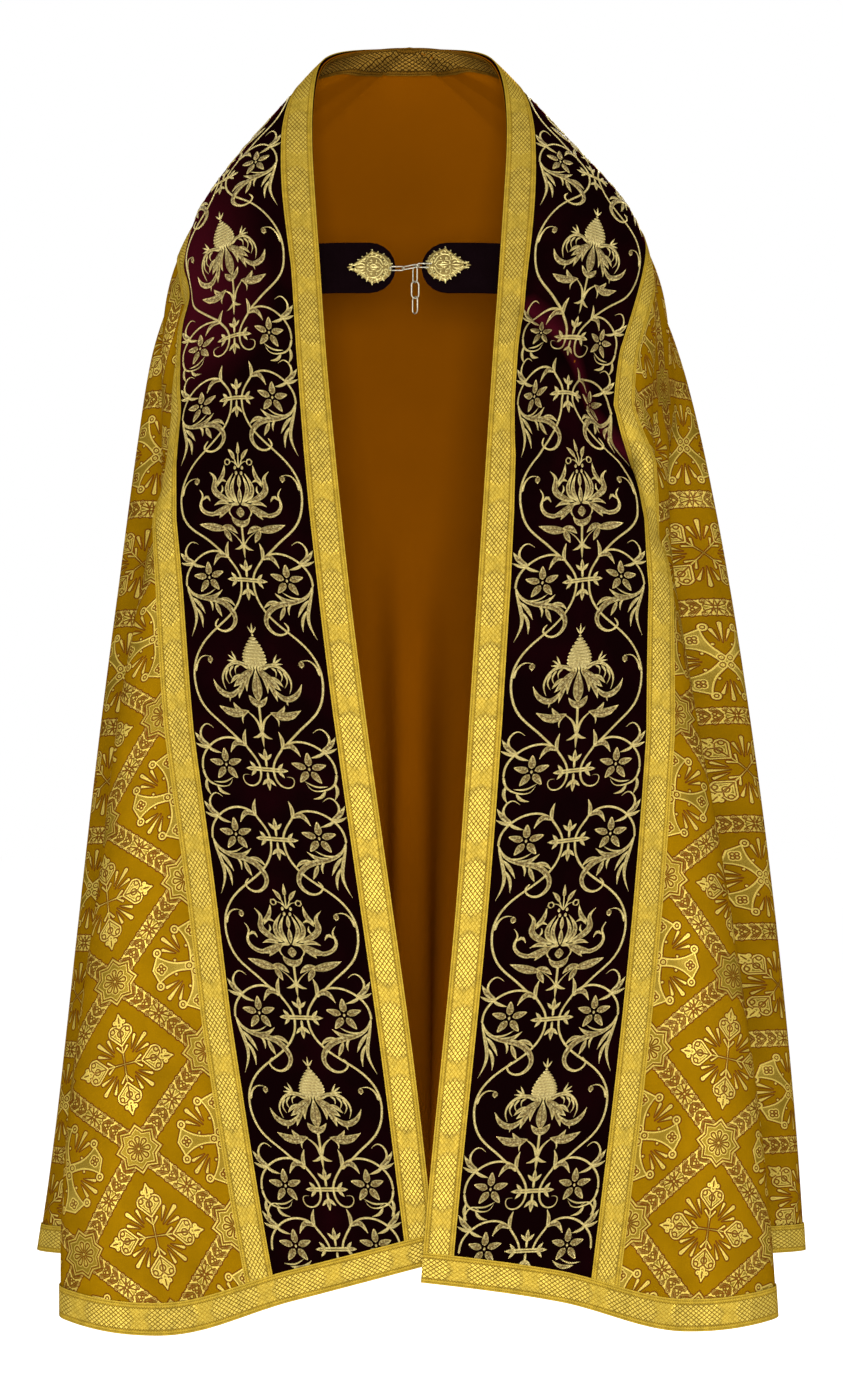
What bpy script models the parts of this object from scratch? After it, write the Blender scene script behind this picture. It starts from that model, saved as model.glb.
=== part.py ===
"""A cope: a semicircular cloak of brocade with a velvet orphrey, galloon edges and a clasp.

The cloak is cut flat and then worn. A point of the flat cut is (s, t) in metres: s runs along the
straight edge from the nape, positive to the wearer's left (+X), and t is the distance in from
that edge. Worn.place turns such points into the hanging form, so every layer of cloth that is cut
here (velvet, brocade, lining, galloon) lies on its neighbour with its own points moved out.

The frame has +Z up and the wearer facing -Y. The origin is the middle of the neck opening, at the
height of the nape.
"""

import math

import bmesh
import bpy
import numpy as np

RIGHT, LEFT = -1, 1  # the wearer's sides, which are also the signs of s and of X

# Cloth, in metres
VELVET = 0.002
LINING = 0.001
GALLOON = 0.001
GAP = 0.0003  # between pieces that meet at a seam or touch
PLY_GAP = 0.0006  # between cloths that lie on each other
GALLOON_WIDTH = 0.034
ORPHREY_WIDTH = 0.208  # of the velvet, to its seam under the middle of the outer galloon
HEM_GALLOON_SHARE = 0.979  # of the way from the nape to the hem, where the hem galloon starts
NECK_FACING_REACH = 0.150  # from the nape to each side, inside the neck

# The worn lines of the cloak. Each starts at the nape and ends at the hem, and its length along
# the cloth is the radius of the flat cut there, so the cloth isn't stretched.
# Columns: z, x on the wearer's right (its sign left out), x on the left, y right, y left.
FRONT_EDGE = (
    (0.000, 0.000, 0.000, 0.075, 0.075),
    (-0.004, 0.046, 0.046, 0.068, 0.068),
    (-0.014, 0.084, 0.083, 0.045, 0.045),
    (-0.032, 0.104, 0.102, 0.016, 0.016),
    (-0.055, 0.110, 0.110, -0.006, -0.006),
    (-0.100, 0.1135, 0.115, -0.030, -0.030),
    (-0.200, 0.1095, 0.1115, -0.075, -0.075),
    (-0.300, 0.102, 0.1045, -0.106, -0.106),
    (-0.400, 0.0945, 0.097, -0.130, -0.130),
    (-0.500, 0.085, 0.090, -0.148, -0.148),
    (-0.650, 0.069, 0.080, -0.170, -0.170),
    (-0.800, 0.050, 0.070, -0.188, -0.188),
    (-1.000, 0.022, 0.056, -0.206, -0.209),
    (-1.200, -0.006, 0.037, -0.219, -0.229),
    (-1.425, -0.033, 0.0155, -0.235, -0.252),
    (-1.444, -0.0355, 0.0140, -0.236, -0.254),
)
CORNER_Z = {RIGHT: -1.425, LEFT: -1.444}  # where each front edge ends at the hem
FRONT_FOLD = (
    (0.000, 0.000, 0.000, 0.075, 0.075),
    (-0.045, 0.094, 0.092, 0.062, 0.062),
    (-0.103, 0.168, 0.170, 0.032, 0.032),
    (-0.150, 0.208, 0.213, 0.004, 0.004),
    (-0.215, 0.248, 0.262, -0.024, -0.024),
    (-0.300, 0.264, 0.284, -0.062, -0.058),
    (-0.400, 0.268, 0.280, -0.090, -0.088),
    (-0.500, 0.279, 0.281, -0.112, -0.112),
    (-0.650, 0.3005, 0.296, -0.138, -0.138),
    (-0.800, 0.3245, 0.321, -0.158, -0.158),
    (-1.000, 0.346, 0.354, -0.178, -0.178),
    (-1.200, 0.370, 0.381, -0.196, -0.196),
    (-1.400, 0.3825, 0.400, -0.213, -0.213),
    (-1.490, 0.3815, 0.405, -0.220, -0.220),
)
SIDE_FOLD = (
    (0.000, 0.000, 0.000, 0.075, 0.075),
    (-0.060, 0.067, 0.068, 0.098, 0.098),
    (-0.125, 0.137, 0.140, 0.095, 0.095),
    (-0.185, 0.200, 0.205, 0.082, 0.082),
    (-0.250, 0.254, 0.261, 0.062, 0.062),
    (-0.340, 0.298, 0.311, 0.042, 0.042),
    (-0.440, 0.3205, 0.343, 0.047, 0.047),
    (-0.650, 0.353, 0.3885, 0.080, 0.080),
    (-0.800, 0.3745, 0.4135, 0.103, 0.103),
    (-1.000, 0.400, 0.442, 0.130, 0.130),
    (-1.200, 0.424, 0.465, 0.157, 0.157),
    (-1.400, 0.450, 0.483, 0.185, 0.185),
    (-1.485, 0.4635, 0.489, 0.197, 0.197),
)
CENTRE_BACK = (
    (0.000, 0.000, 0.000, 0.075, 0.075),
    (-0.100, 0.000, 0.000, 0.114, 0.114),
    (-0.200, 0.000, 0.000, 0.144, 0.144),
    (-0.300, 0.000, 0.000, 0.169, 0.169),
    (-0.400, 0.000, 0.000, 0.188, 0.188),
    (-0.650, 0.000, 0.000, 0.232, 0.232),
    (-1.000, 0.000, 0.000, 0.293, 0.293),
    (-1.500, 0.000, 0.000, 0.386, 0.386),
)

# Where those lines and the folds between them lie in the flat cut, in degrees from the edge.
# Columns: share of the way from the nape to the hem, angle on the right, angle on the left.
FRONT_FOLD_ANGLES = (
    (0.00, 25.5, 28.0),
    (0.27, 25.5, 28.0),
    (0.33, 21.4, 27.5),
    (0.37, 19.7, 25.1),
    (0.41, 18.3, 18.8),
    (0.45, 17.4, 16.6),
    (0.50, 17.2, 15.3),
    (0.60, 16.5, 14.6),
    (0.80, 16.0, 14.6),
    (1.00, 16.2, 14.6),
)
SIDE_FOLD_ANGLE = 44.5
# Columns: flat angle and turn round the plan on the right, the same on the left.
BACK_CRESTS = ((61.0, 38.0, 58.5, 34.0), (75.5, 66.0, 73.0, 62.0), (90.0, 90.0, 90.0, 90.0))
# The front panel between its edge and its fold: how far it bulges out of the line between them
# at the shoulder and below it, and how far its hem dips under that line.
# Columns: share of the way across, bulge at the shoulder, bulge below, dip on the right, on the left.
PANEL = ((0.38, 0.014, 0.010, 0.0165, 0.0035), (0.74, 0.014, 0.010, 0.0325, 0.0220))
HIDDEN_FOLD_INSET = 0.030  # the fold that hangs behind each front fold
UPPER_ARM_BULGE = 0.010  # the same line above the folds, where the shoulder fills it
FOLD_CENTRE_Y = 0.070  # folds turn in towards this line
FOLD_EASE = 0.90  # of a fold's cloth that its depth takes up, the rest rounds its crest
FOLD_START = 0.035  # how softly a fold begins, in metres of depth
FOLDS_BEGIN = (0.25, 0.50)  # shares between which the shoulder's fullness turns into folds
NAPE_SHARE = 0.15  # nearer the nape than this, the bulges fade
LEAST_SLACK = 1e-9

# Soft troughs in the cloth, in its flat measures.
# Columns: side, from (s, t), to (s, t), depth, width.
CREASES = (
    (LEFT, 0.480, 0.055, 0.650, 0.190, 0.016, 0.022),
    (RIGHT, 0.400, 0.220, 0.480, 0.110, 0.010, 0.028),
)

# The flat net that the cloth is modelled on
RINGS = (
    *(0.13, 0.16, 0.20, 0.25, 0.30, 0.335, 0.37, 0.41, 0.46, 0.53, 0.62, 0.73, 0.85),
    *(HEM_GALLOON_SHARE, 1.0),
)
PLAIN_SHARE = 0.29  # nearer the nape than this the net needs only the lines of the folds
FRONT_STEPS, BACK_STEPS = 4, 3  # net columns from each line of a fold to the next
OUTER_GALLOON_START = ORPHREY_WIDTH - GALLOON_WIDTH / 2
BAND_LINES = (0.0, GALLOON_WIDTH, 0.075, 0.113, 0.152, OUTER_GALLOON_START, ORPHREY_WIDTH)
BAND_STATIONS = (0.0, 0.05, 0.10, 0.15, 0.20)
SEAM_TOLERANCE = 1e-6
BODY_APEX_CLEARANCE = 0.030  # net stations nearer than this to another are left out

# Clasp, in metres. Its tabs lean with the fronts, and cross the opening in one plane.
TAB_HEIGHT = 0.0597
TAB_THICKNESS = 0.003
TAB_Z = -0.294
TAB_TIP, TAB_BEND, TAB_END = 0.0152, 0.078, 0.122  # distances from the wearer's middle
TAB_TIP_TURNS = (6, 20, 38, 56, 74, 90)  # degrees round the half circle of the tip
TAB_STATIONS = (0.062, TAB_BEND, 0.088, 0.098, 0.106, 0.114, TAB_END)
TAB_ROWS = (-1.0, -0.6, -0.2, 0.2, 0.6, 1.0)
SEAM_LINES = (0.004, 0.018, 0.034)  # in from the front edge, where the tab is sewn to the lining
SEAM_ROOM = 0.0018  # for the stitching there
CLASP_Y = -0.1035  # middle of the tab's thickness, at TAB_Z
CLASP_LEAN = math.radians(14)  # the tab's upper edge lies this far back
# Columns: side, middle x and z, reach to its point, reach to the eye or hook, half its height.
PLATES = (
    (RIGHT, 0.0424, -0.2944, 0.0313, 0.0239, 0.0216),
    (LEFT, 0.0428, -0.2914, 0.0321, 0.0226, 0.0222),
)
PLATE_TEETH = 20
# Columns: share of the plate's reach, height over its back.
PLATE_RINGS = ((1.0, 0.0008), (0.86, 0.0016), (0.68, 0.0012), (0.46, 0.0024), (0.16, 0.0028))
TOOTH = 0.05  # depth, as a share of the plate's radius
WIRE = 0.0008  # radius of the chain's wire
CONTACT = 2 * WIRE + GAP  # between the middles of wires that hang on each other
LINK_LENGTH, LINK_WIDTH = 0.0197, 0.0084  # of the wire's middle line
ARC_POINTS = 7  # odd, so that one lies at the end of a bend
LOOP_HALF = 0.0022  # half the height of the eye and of the hook
EYE_START, EYE_TIP = -0.0212, -0.0054
HOOK_START, HOOK_END = 0.0270, 0.0235
CHAIN_Y = -0.1084
EYE_Z, HOOK_Z = -0.2954, -0.2925
CATCH_ROLL = math.radians(60)  # of the caught link, about its length
TAIL_X = 0.0072
TAIL_TURNS = (-54, 8, -48)  # degrees about Z, of each hanging link's width from X

VELVET_COLOUR = (0.030, 0.004, 0.010)
BROCADE_COLOUR = (0.55, 0.31, 0.03)
GALLOON_COLOUR = (0.66, 0.40, 0.05)
LINING_COLOUR = (0.24, 0.09, 0.005)
GILT_COLOUR = (0.72, 0.58, 0.30)
STEEL_COLOUR = (0.45, 0.43, 0.38)
STRAP_COLOUR = (0.10, 0.025, 0.008)


def spline(knots, values, at):
    """Natural cubic spline through the rows of values, read at each of the places in at."""
    count = len(knots)
    gaps = np.diff(knots)
    slopes = np.diff(values, axis=0) / gaps[:, None]
    system = np.eye(count)
    right_side = np.zeros_like(values)
    for i in range(1, count - 1):
        system[i, i - 1 : i + 2] = (gaps[i - 1], 2 * (gaps[i - 1] + gaps[i]), gaps[i])
        right_side[i] = 6 * (slopes[i] - slopes[i - 1])
    bends = np.linalg.solve(system, right_side)
    k = np.clip(np.searchsorted(knots, at, side="right") - 1, 0, count - 2)
    gap = gaps[k][:, None]
    ahead = (knots[k + 1] - at)[:, None]
    past = (at - knots[k])[:, None]
    return (
        (bends[k] * ahead**3 + bends[k + 1] * past**3) / (6 * gap)
        + (values[k] / gap - bends[k] * gap / 6) * ahead
        + (values[k + 1] / gap - bends[k + 1] * gap / 6) * past
    )


def smooth_step(low, high, value):
    """0 below low, 1 above high and an S-curve between."""
    x = np.clip((value - low) / (high - low), 0, 1)
    return x * x * (3 - 2 * x)


class WornLine:
    """One line of the worn cloth from the nape to the hem, read by its share of the length."""

    SAMPLES = 600

    def __init__(self, rows, side, lowest=-math.inf):
        """rows as in the tables of lines; the line ends at the height of lowest."""
        z, x_right, x_left, y_right, y_left = np.array(rows).T
        x, y = (x_left, y_left) if side == LEFT else (-x_right, y_right)
        points = np.stack([x, y, z], axis=1)
        knots = np.concatenate([[0], np.cumsum(np.linalg.norm(np.diff(points, axis=0), axis=1))])
        self.points = spline(knots, points, np.linspace(0, knots[-1], self.SAMPLES))
        self.points = self.points[self.points[:, 2] > lowest]
        runs = np.linalg.norm(np.diff(self.points, axis=0), axis=1)
        self.along = np.concatenate([[0], np.cumsum(runs)])
        self.length = self.along[-1]

    def at(self, share):
        place = np.asarray(share) * self.length
        return np.stack([np.interp(place, self.along, self.points[:, i]) for i in range(3)], axis=1)


class Side:
    """One side of the worn cloak, from its front edge (0 degrees) to the centre back (90)."""

    def __init__(self, side):
        self.side = side
        self.edge = WornLine(FRONT_EDGE, side, CORNER_Z[side])
        self.fold = WornLine(FRONT_FOLD, side)
        self.flank = WornLine(SIDE_FOLD, side)
        self.back = WornLine(CENTRE_BACK, side)

    def radius(self, angle):
        """Of the flat cut's hem, at each angle in degrees."""
        edge, front = self.edge.length, self.fold.length
        fold = self.fold_angle(np.ones(1))[0]
        panel = [(fold * row[0], edge + (front - edge) * row[0] + self.dip(row)) for row in PANEL]
        hind = ((SIDE_FOLD_ANGLE + 90) / 2, (self.flank.length + self.back.length) / 2)
        ends = [(SIDE_FOLD_ANGLE, self.flank.length), hind, (90, self.back.length)]
        knots, reach = np.array([(0, edge), *panel, (fold, front), *ends]).T
        return spline(knots, reach[:, None], np.clip(angle, 0, 90))[:, 0]

    def dip(self, row):
        return row[4] if self.side == LEFT else row[3]

    def fold_angle(self, share):
        """Flat angle of the front fold at each share of the way to the hem."""
        shares, right, left = np.array(FRONT_FOLD_ANGLES).T
        return np.interp(share, shares, left if self.side == LEFT else right)

    def control_angles(self, share):
        """Flat angles of the lines that shape the ring at each share of the way to the hem."""
        fold = self.fold_angle(share)
        quarters = [fold + (SIDE_FOLD_ANGLE - fold) * i / 4 for i in range(1, 5)]
        hind = [np.full_like(fold, angle) for angle, turn in self.back_lines()]
        panel = [fold * row[0] for row in PANEL]
        return np.stack([np.zeros_like(fold), *panel, fold, *quarters, *hind], axis=1)

    def back_lines(self):
        """Flat angle and turn round the plan of each valley and crest behind the side fold."""
        lines = []
        before = (SIDE_FOLD_ANGLE, 0.0)
        for row in BACK_CRESTS:
            crest = row[2:] if self.side == LEFT else row[:2]
            lines.append(((before[0] + crest[0]) / 2, (before[1] + crest[1]) / 2))
            lines.append(crest)
            before = crest
        return lines

    def controls(self, share):
        """Flat angles and places of each ring's control points, folds included."""
        edge, fold = self.edge.at(share), self.fold.at(share)
        flank, back = self.flank.at(share), self.back.at(share)
        angles = self.control_angles(share)
        low = smooth_step(*FOLDS_BEGIN, share)[:, None]
        near_nape = np.minimum(1, share / NAPE_SHARE)[:, None]
        rows = [edge]
        for row in PANEL:
            bulge = (row[1] + (row[2] - row[1]) * low) * near_nape
            panel = self.moved_in(edge + (fold - edge) * row[0], -bulge)
            panel[:, 2] -= self.dip(row) * share**3
            rows.append(panel)
        rows.append(fold)
        inset = -UPPER_ARM_BULGE + (HIDDEN_FOLD_INSET + UPPER_ARM_BULGE) * low
        hidden = self.moved_in((fold + flank) / 2, inset * near_nape)
        hind = []
        for angle, turn in np.radians(self.back_lines()):
            between = flank + (back - flank) * math.sin(turn)
            between[:, 0] = flank[:, 0] * math.cos(turn)
            hind.append(between)
        crests = [fold, hidden, flank, *hind[1::2]]
        bases = [(fold + hidden) / 2, (hidden + flank) / 2, *hind[0::2]]
        radius = share * self.radius(np.full_like(share, SIDE_FOLD_ANGLE))
        first = len(PANEL) + 1
        for k, base in enumerate(bases):
            cloth_angle = angles[:, first + 2 * k + 2] - angles[:, first + 2 * k]
            legs = np.stack([base - crests[k], crests[k + 1] - base])
            span = np.linalg.norm(legs, axis=2).sum(axis=0)
            spare = np.maximum(0, (radius * np.radians(cloth_angle) * FOLD_EASE) ** 2 - span**2) / 4
            depth = spare / np.sqrt(spare + FOLD_START**2)
            rows += [self.moved_in(base, depth[:, None]), crests[k + 1]]
        return angles, np.stack(rows, axis=1)

    @staticmethod
    def moved_in(places, depth):
        """Places moved level towards the middle line of the cloak by depth."""
        way = np.array([0, FOLD_CENTRE_Y, 0]) - places * (1, 1, 0)
        return places + way / (np.linalg.norm(way, axis=1, keepdims=True) + LEAST_SLACK) * depth

    def place(self, radius, angle):
        """World places of flat points given by their radius and angle in degrees."""
        share = radius / self.radius(angle)
        angles, points = self.controls(share)
        last = points.shape[1] - 1
        count = np.arange(len(share))
        k = np.clip((angles <= angle[:, None]).sum(axis=1) - 1, 0, last - 1)
        chords = np.linalg.norm(np.diff(points, axis=1), axis=2) + LEAST_SLACK
        ways = np.diff(points, axis=1) / chords[:, :, None]
        weight = (chords[:, :-1] / (chords[:, :-1] + chords[:, 1:]))[:, :, None]
        inner = ways[:, 1:] * weight + ways[:, :-1] * (1 - weight)
        inner /= np.linalg.norm(inner, axis=2, keepdims=True) + LEAST_SLACK
        first = 1.5 * ways[:, :1] - 0.5 * inner[:, :1]
        end = np.zeros_like(first)
        end[:, 0, 0] = -self.side
        tangents = np.concatenate([first, inner, end], axis=1)
        flat = radius[:, None] * np.radians(np.diff(angles, axis=1))
        speed = np.minimum(flat, 1.25 * chords)[count, k][:, None]
        x = ((angle - angles[count, k]) / (angles[count, k + 1] - angles[count, k]))[:, None]
        a, b = points[count, k], points[count, k + 1]
        return (
            (2 * x**3 - 3 * x**2 + 1) * a
            + (x**3 - 2 * x**2 + x) * tangents[count, k] * speed
            + (3 * x**2 - 2 * x**3) * b
            + (x**3 - x**2) * tangents[count, k + 1] * speed
        )


class Sheet:
    """Something flat that is placed in the world: each kind has its own place(flat)."""

    STEP = 0.001  # for slopes

    def facing(self, place, flat):
        """Outward unit normals at flat points, from the slopes of place."""
        flat = np.asarray(flat, float)
        along = place(flat + (self.STEP, 0)) - place(flat - (self.STEP, 0))
        across = place(flat + (0, self.STEP)) - place(flat - (0, self.STEP))
        normal = np.cross(along, across)
        return normal / np.linalg.norm(normal, axis=1, keepdims=True)

    def offset(self, flat, height):
        """World places of flat points, moved out from the middle of the sheet by height."""
        return self.place(flat) + self.facing(self.place, flat) * height


class Worn(Sheet):
    """The whole cloak as it hangs: flat points in, world points out."""

    def __init__(self):
        self.sides = {side: Side(side) for side in (RIGHT, LEFT)}

    def hem_radius(self, side, angle):
        return self.sides[side].radius(np.atleast_1d(np.asarray(angle, float)))

    def uncreased(self, flat):
        """World places of flat points (s, t), before the creases."""
        flat = np.asarray(flat, float)
        placed = np.zeros((len(flat), 3))
        for side in (RIGHT, LEFT):
            own = (flat[:, 0] >= 0) == (side == LEFT)
            if own.any():
                s, t = side * flat[own, 0], flat[own, 1]
                placed[own] = self.sides[side].place(np.hypot(s, t), np.degrees(np.arctan2(t, s)))
        return placed

    def place(self, flat):
        """World places of flat points (s, t)."""
        flat = np.asarray(flat, float)
        sunk = np.zeros(len(flat))
        for side, s_from, t_from, s_to, t_to, depth, width in CREASES:
            start = np.array([side * s_from, t_from])
            run = np.array([side * s_to, t_to]) - start
            share = ((flat - start) @ run) / (run @ run)
            off = np.abs((flat - start) @ np.array([-run[1], run[0]])) / np.linalg.norm(run)
            length_taper = np.exp(-np.maximum(0, np.abs(share - 0.5) - 0.3) ** 2 / 0.03)
            sunk += depth * np.exp(-((off / width) ** 2)) * length_taper
        placed = self.uncreased(flat)
        deep = sunk > 1e-5
        if deep.any():
            placed[deep] -= self.facing(self.uncreased, flat[deep]) * sunk[deep, None]
        return placed


class Tab(Sheet):
    """One strap of the clasp. Its flat points are (x, height over TAB_Z)."""

    def __init__(self, worn, side):
        self.side = side
        along = np.linspace(0.25, 0.65, 161)
        depth = VELVET / 2 + LINING + TAB_THICKNESS / 2 + 2 * PLY_GAP + SEAM_ROOM
        self.seams = [
            worn.offset(np.stack([side * along, np.full_like(along, t)], axis=1), -depth)
            for t in SEAM_LINES
        ]

    def place(self, flat):
        return np.array([self.spot(side_x, height) for side_x, height in flat])

    def spot(self, x, height):
        """In the plane of the clasp as far as TAB_BEND, then along the lining."""
        z = TAB_Z + height
        y = CLASP_Y + height * math.tan(CLASP_LEAN)
        past = abs(x) - TAB_BEND
        if past > 0:
            seams = np.array(
                [[np.interp(-z, -seam[:, 2], seam[:, axis]) for axis in (0, 1)] for seam in self.seams]
            )
            reach = np.abs(seams[:, 0]) - TAB_BEND
            rise = seams[:, 1] - y
            y += past**2 * np.polyval(np.polyfit(reach, rise / reach**2, 2), past)
        return x, y, z


def material(name, colour, roughness, metallic=0.0):
    made = bpy.data.materials.new(name)
    made.use_nodes = True
    shader = made.node_tree.nodes["Principled BSDF"]
    shader.inputs["Base Color"].default_value = (*colour, 1.0)
    shader.inputs["Roughness"].default_value = roughness
    shader.inputs["Metallic"].default_value = metallic
    return made


def add_object(name, mesh, surface, collection):
    made = bpy.data.objects.new(name, mesh)
    mesh.materials.append(surface)
    collection.objects.link(made)
    return made


def body_net(worn, side):
    """The flat brocade of one side, as rings and radial lines cut off along the orphrey."""
    lines = worn.sides[side].control_angles(np.ones(1))[0][1:]
    angles, marks = [lines[0]], [0]
    for before, after in zip(lines, lines[1:]):
        steps = FRONT_STEPS if before < SIDE_FOLD_ANGLE else BACK_STEPS
        angles += [before + (after - before) * (i + 1) / steps for i in range(steps)]
        marks.append(len(angles) - 1)
    reach = worn.hem_radius(side, angles)
    net = bmesh.new()

    def flat_point(radius, angle):
        turn = math.radians(angle)
        return net.verts.new((side * radius * math.cos(turn), radius * math.sin(turn), 0))

    rows = [[flat_point(share * far, a) for a, far in zip(angles, reach)] for share in RINGS]
    for j, (inner, outer) in enumerate(zip(rows, rows[1:])):
        for i, k in zip(marks, marks[1:]):
            if RINGS[j] > PLAIN_SHARE:
                for m in range(i, k):
                    net.faces.new((inner[m], outer[m], outer[m + 1], inner[m + 1]))
            else:
                step = 1 if RINGS[j + 1] > PLAIN_SHARE else k - i
                net.faces.new((inner[i], *outer[i : k + 1 : step], inner[k]))
    for v in [v for v in net.verts if not v.link_faces]:
        net.verts.remove(v)
    bmesh.ops.bisect_plane(
        net, geom=net.verts[:] + net.edges[:] + net.faces[:], dist=SEAM_TOLERANCE,
        plane_co=(0, ORPHREY_WIDTH, 0), plane_no=(0, 1, 0), clear_inner=True,
    )
    return net


def add_line(net, t):
    """Cuts the net's faces along the line t, keeping both parts."""
    bmesh.ops.bisect_plane(
        net, geom=net.verts[:] + net.edges[:] + net.faces[:], dist=SEAM_TOLERANCE,
        plane_co=(0, t, 0), plane_no=(0, 1, 0),
    )


def seam_stations(net):
    """The places along the orphrey's seam where the brocade's net has points."""
    found = {round(abs(v.co.x), 6) for v in net.verts if abs(v.co.y - ORPHREY_WIDTH) < SEAM_TOLERANCE}
    return sorted(found)


def band_net(worn, side, stations):
    """The flat orphrey of one side, with a line across it at each station of the seam."""
    first = [s for s in BAND_STATIONS if min(abs(s - other) for other in stations) > BODY_APEX_CLEARANCE]
    stations = sorted({*stations, *first, 0.0})
    far = stations[-1]
    reach = worn.hem_radius(side, [math.degrees(math.atan2(t, far)) for t in BAND_LINES])
    ends = [math.sqrt(r**2 - t**2) for r, t in zip(reach, BAND_LINES)]
    net = bmesh.new()
    rows = []
    for t, end in zip(BAND_LINES, ends):
        ease = [1 + (end / ends[-1] - 1) * (s / far) ** 2 for s in stations]
        rows.append([net.verts.new((side * s * e, t, 0)) for s, e in zip(stations, ease)])
    for inner, outer in zip(rows, rows[1:]):
        for i in range(len(stations) - 1):
            net.faces.new((inner[i], inner[i + 1], outer[i + 1], outer[i]))
    return net


def joined(*nets):
    """One net from several, with the points that they share made one."""
    whole = bmesh.new()
    for net in nets:
        copies = {v: whole.verts.new(v.co) for v in net.verts}
        for face in net.faces:
            whole.faces.new([copies[v] for v in face.verts])
    bmesh.ops.remove_doubles(whole, verts=whole.verts[:], dist=SEAM_TOLERANCE)
    return whole


def cut(net, wanted):
    """A new net of the faces whose middle (s, t) is wanted."""
    piece = bmesh.new()
    copies = {}
    for face in net.faces:
        middle = face.calc_center_median()
        if not wanted(middle.x, middle.y):
            continue
        for v in face.verts:
            if v not in copies:
                copies[v] = piece.verts.new(v.co)
        piece.faces.new([copies[v] for v in face.verts])
    return piece


def part_from(net, seams):
    """Draws a piece back by half the gap from each seam line, given as (axis, value, way)."""
    for v in net.verts:
        for axis, value, way in seams:
            if abs(v.co[axis] - value) < 10 * SEAM_TOLERANCE:
                v.co[axis] += way * GAP / 2
    return net


def cloth(name, net, sheet, low, high, surface, collection):
    """A closed wall over a flat net, between two heights from the middle of the sheet."""
    bmesh.ops.recalc_face_normals(net, faces=net.faces[:])
    net.verts.ensure_lookup_table()
    flat = np.array([(v.co.x, v.co.y) for v in net.verts])
    net.verts.index_update()
    wall = bmesh.new()
    tops = [wall.verts.new(p) for p in sheet.offset(flat, high)]
    bottoms = [wall.verts.new(p) for p in sheet.offset(flat, low)]
    for face in net.faces:
        around = [v.index for v in face.verts]
        if face.normal.z < 0:
            around.reverse()
        wall.faces.new([tops[i] for i in around])
        wall.faces.new([bottoms[i] for i in reversed(around)])
        for i, j in zip(around, around[1:] + around[:1]):
            if len(net.edges.get((net.verts[i], net.verts[j])).link_faces) == 1:
                # split from the end nearer the nape, so that facing rims stay parallel
                if abs(flat[i][0]) < abs(flat[j][0]):
                    halves = (tops[i], bottoms[i], bottoms[j]), (tops[i], bottoms[j], tops[j])
                else:
                    halves = (tops[i], bottoms[i], tops[j]), (bottoms[i], bottoms[j], tops[j])
                for half in halves:
                    wall.faces.new(half)
    mesh = bpy.data.meshes.new(name)
    wall.to_mesh(mesh)
    wall.free()
    mesh.shade_smooth()
    return add_object(name, mesh, surface, collection)


def tab_net(side):
    """The flat outline of a strap: a rectangle with a half-round tip, in rows and columns."""
    half = TAB_HEIGHT / 2
    columns = [
        (TAB_TIP + half * (1 - math.cos(math.radians(turn))), half * math.sin(math.radians(turn)))
        for turn in TAB_TIP_TURNS
    ]
    columns += [(x, half) for x in TAB_STATIONS]
    net = bmesh.new()
    rows = [[net.verts.new((side * x, high * row, 0)) for row in TAB_ROWS] for x, high in columns]
    for near, far in zip(rows, rows[1:]):
        for i in range(len(TAB_ROWS) - 1):
            net.faces.new((near[i], near[i + 1], far[i + 1], far[i]))
    return net


def plate(name, row, surface, collection):
    """A domed, toothed leaf of metal on a tab, with its point to the tab's sewn end."""
    side, x, z, point, eye, half_height = row
    back = TAB_THICKNESS / 2 + GAP
    up = np.array([0, math.sin(CLASP_LEAN), math.cos(CLASP_LEAN)])
    out = np.array([0, -math.cos(CLASP_LEAN), math.sin(CLASP_LEAN)])
    middle = np.array([side * x, CLASP_Y + (z - TAB_Z) * math.tan(CLASP_LEAN), z])
    mesh = bmesh.new()

    def ring(share, height):
        around = []
        for i in range(2 * PLATE_TEETH):
            turn = math.pi * i / PLATE_TEETH
            across, high = math.cos(turn), math.sin(turn)
            tooth = 1 + (TOOTH if i % 2 else -TOOTH) * share
            reach = point * (0.72 * across + 0.28 * across**3) if across > 0 else eye * across
            spot = middle + out * (back + height) + up * (half_height * high * share * tooth)
            spot[0] += side * reach * share * tooth
            around.append(mesh.verts.new(spot))
        return around

    rings = [ring(1.0, 0.0)] + [ring(share, height) for share, height in PLATE_RINGS]
    mesh.faces.new(rings[0])
    mesh.faces.new(rings[-1])
    for outer, inner in zip(rings, rings[1:]):
        for i in range(len(outer)):
            mesh.faces.new((outer[i - 1], outer[i], inner[i], inner[i - 1]))
    bmesh.ops.recalc_face_normals(mesh, faces=mesh.faces[:])
    made = bpy.data.meshes.new(name)
    mesh.to_mesh(made)
    mesh.free()
    return add_object(name, made, surface, collection)


def wire(name, points, closed, surface, collection, origin=(0, 0, 0)):
    """Round wire along the points, as an object that has its origin there."""
    curve = bpy.data.curves.new(name, "CURVE")
    curve.dimensions = "3D"
    curve.bevel_depth = WIRE
    curve.bevel_resolution = 2
    curve.use_fill_caps = not closed
    line = curve.splines.new("POLY")
    line.points.add(len(points) - 1)
    for spot, place in zip(line.points, points):
        spot.co = (*(np.array(place) - origin), 1)
    line.use_cyclic_u = closed
    add_object(name, curve, surface, collection).location = origin


def arc(centre, long, wide, radius, start, end):
    """Points round a bend, in the plane of the directions long and wide."""
    turns = np.radians(np.linspace(start, end, ARC_POINTS))
    return [centre + radius * (long * math.cos(turn) + wide * math.sin(turn)) for turn in turns]


def loop(middle, long, wide, length, width):
    """The middle line of an oval link."""
    radius = width / 2
    bend = long * (length / 2 - radius)
    far_end = arc(middle + bend, long, wide, radius, -90, 90)
    return far_end + arc(middle - bend, long, wide, radius, 90, 270)


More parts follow.
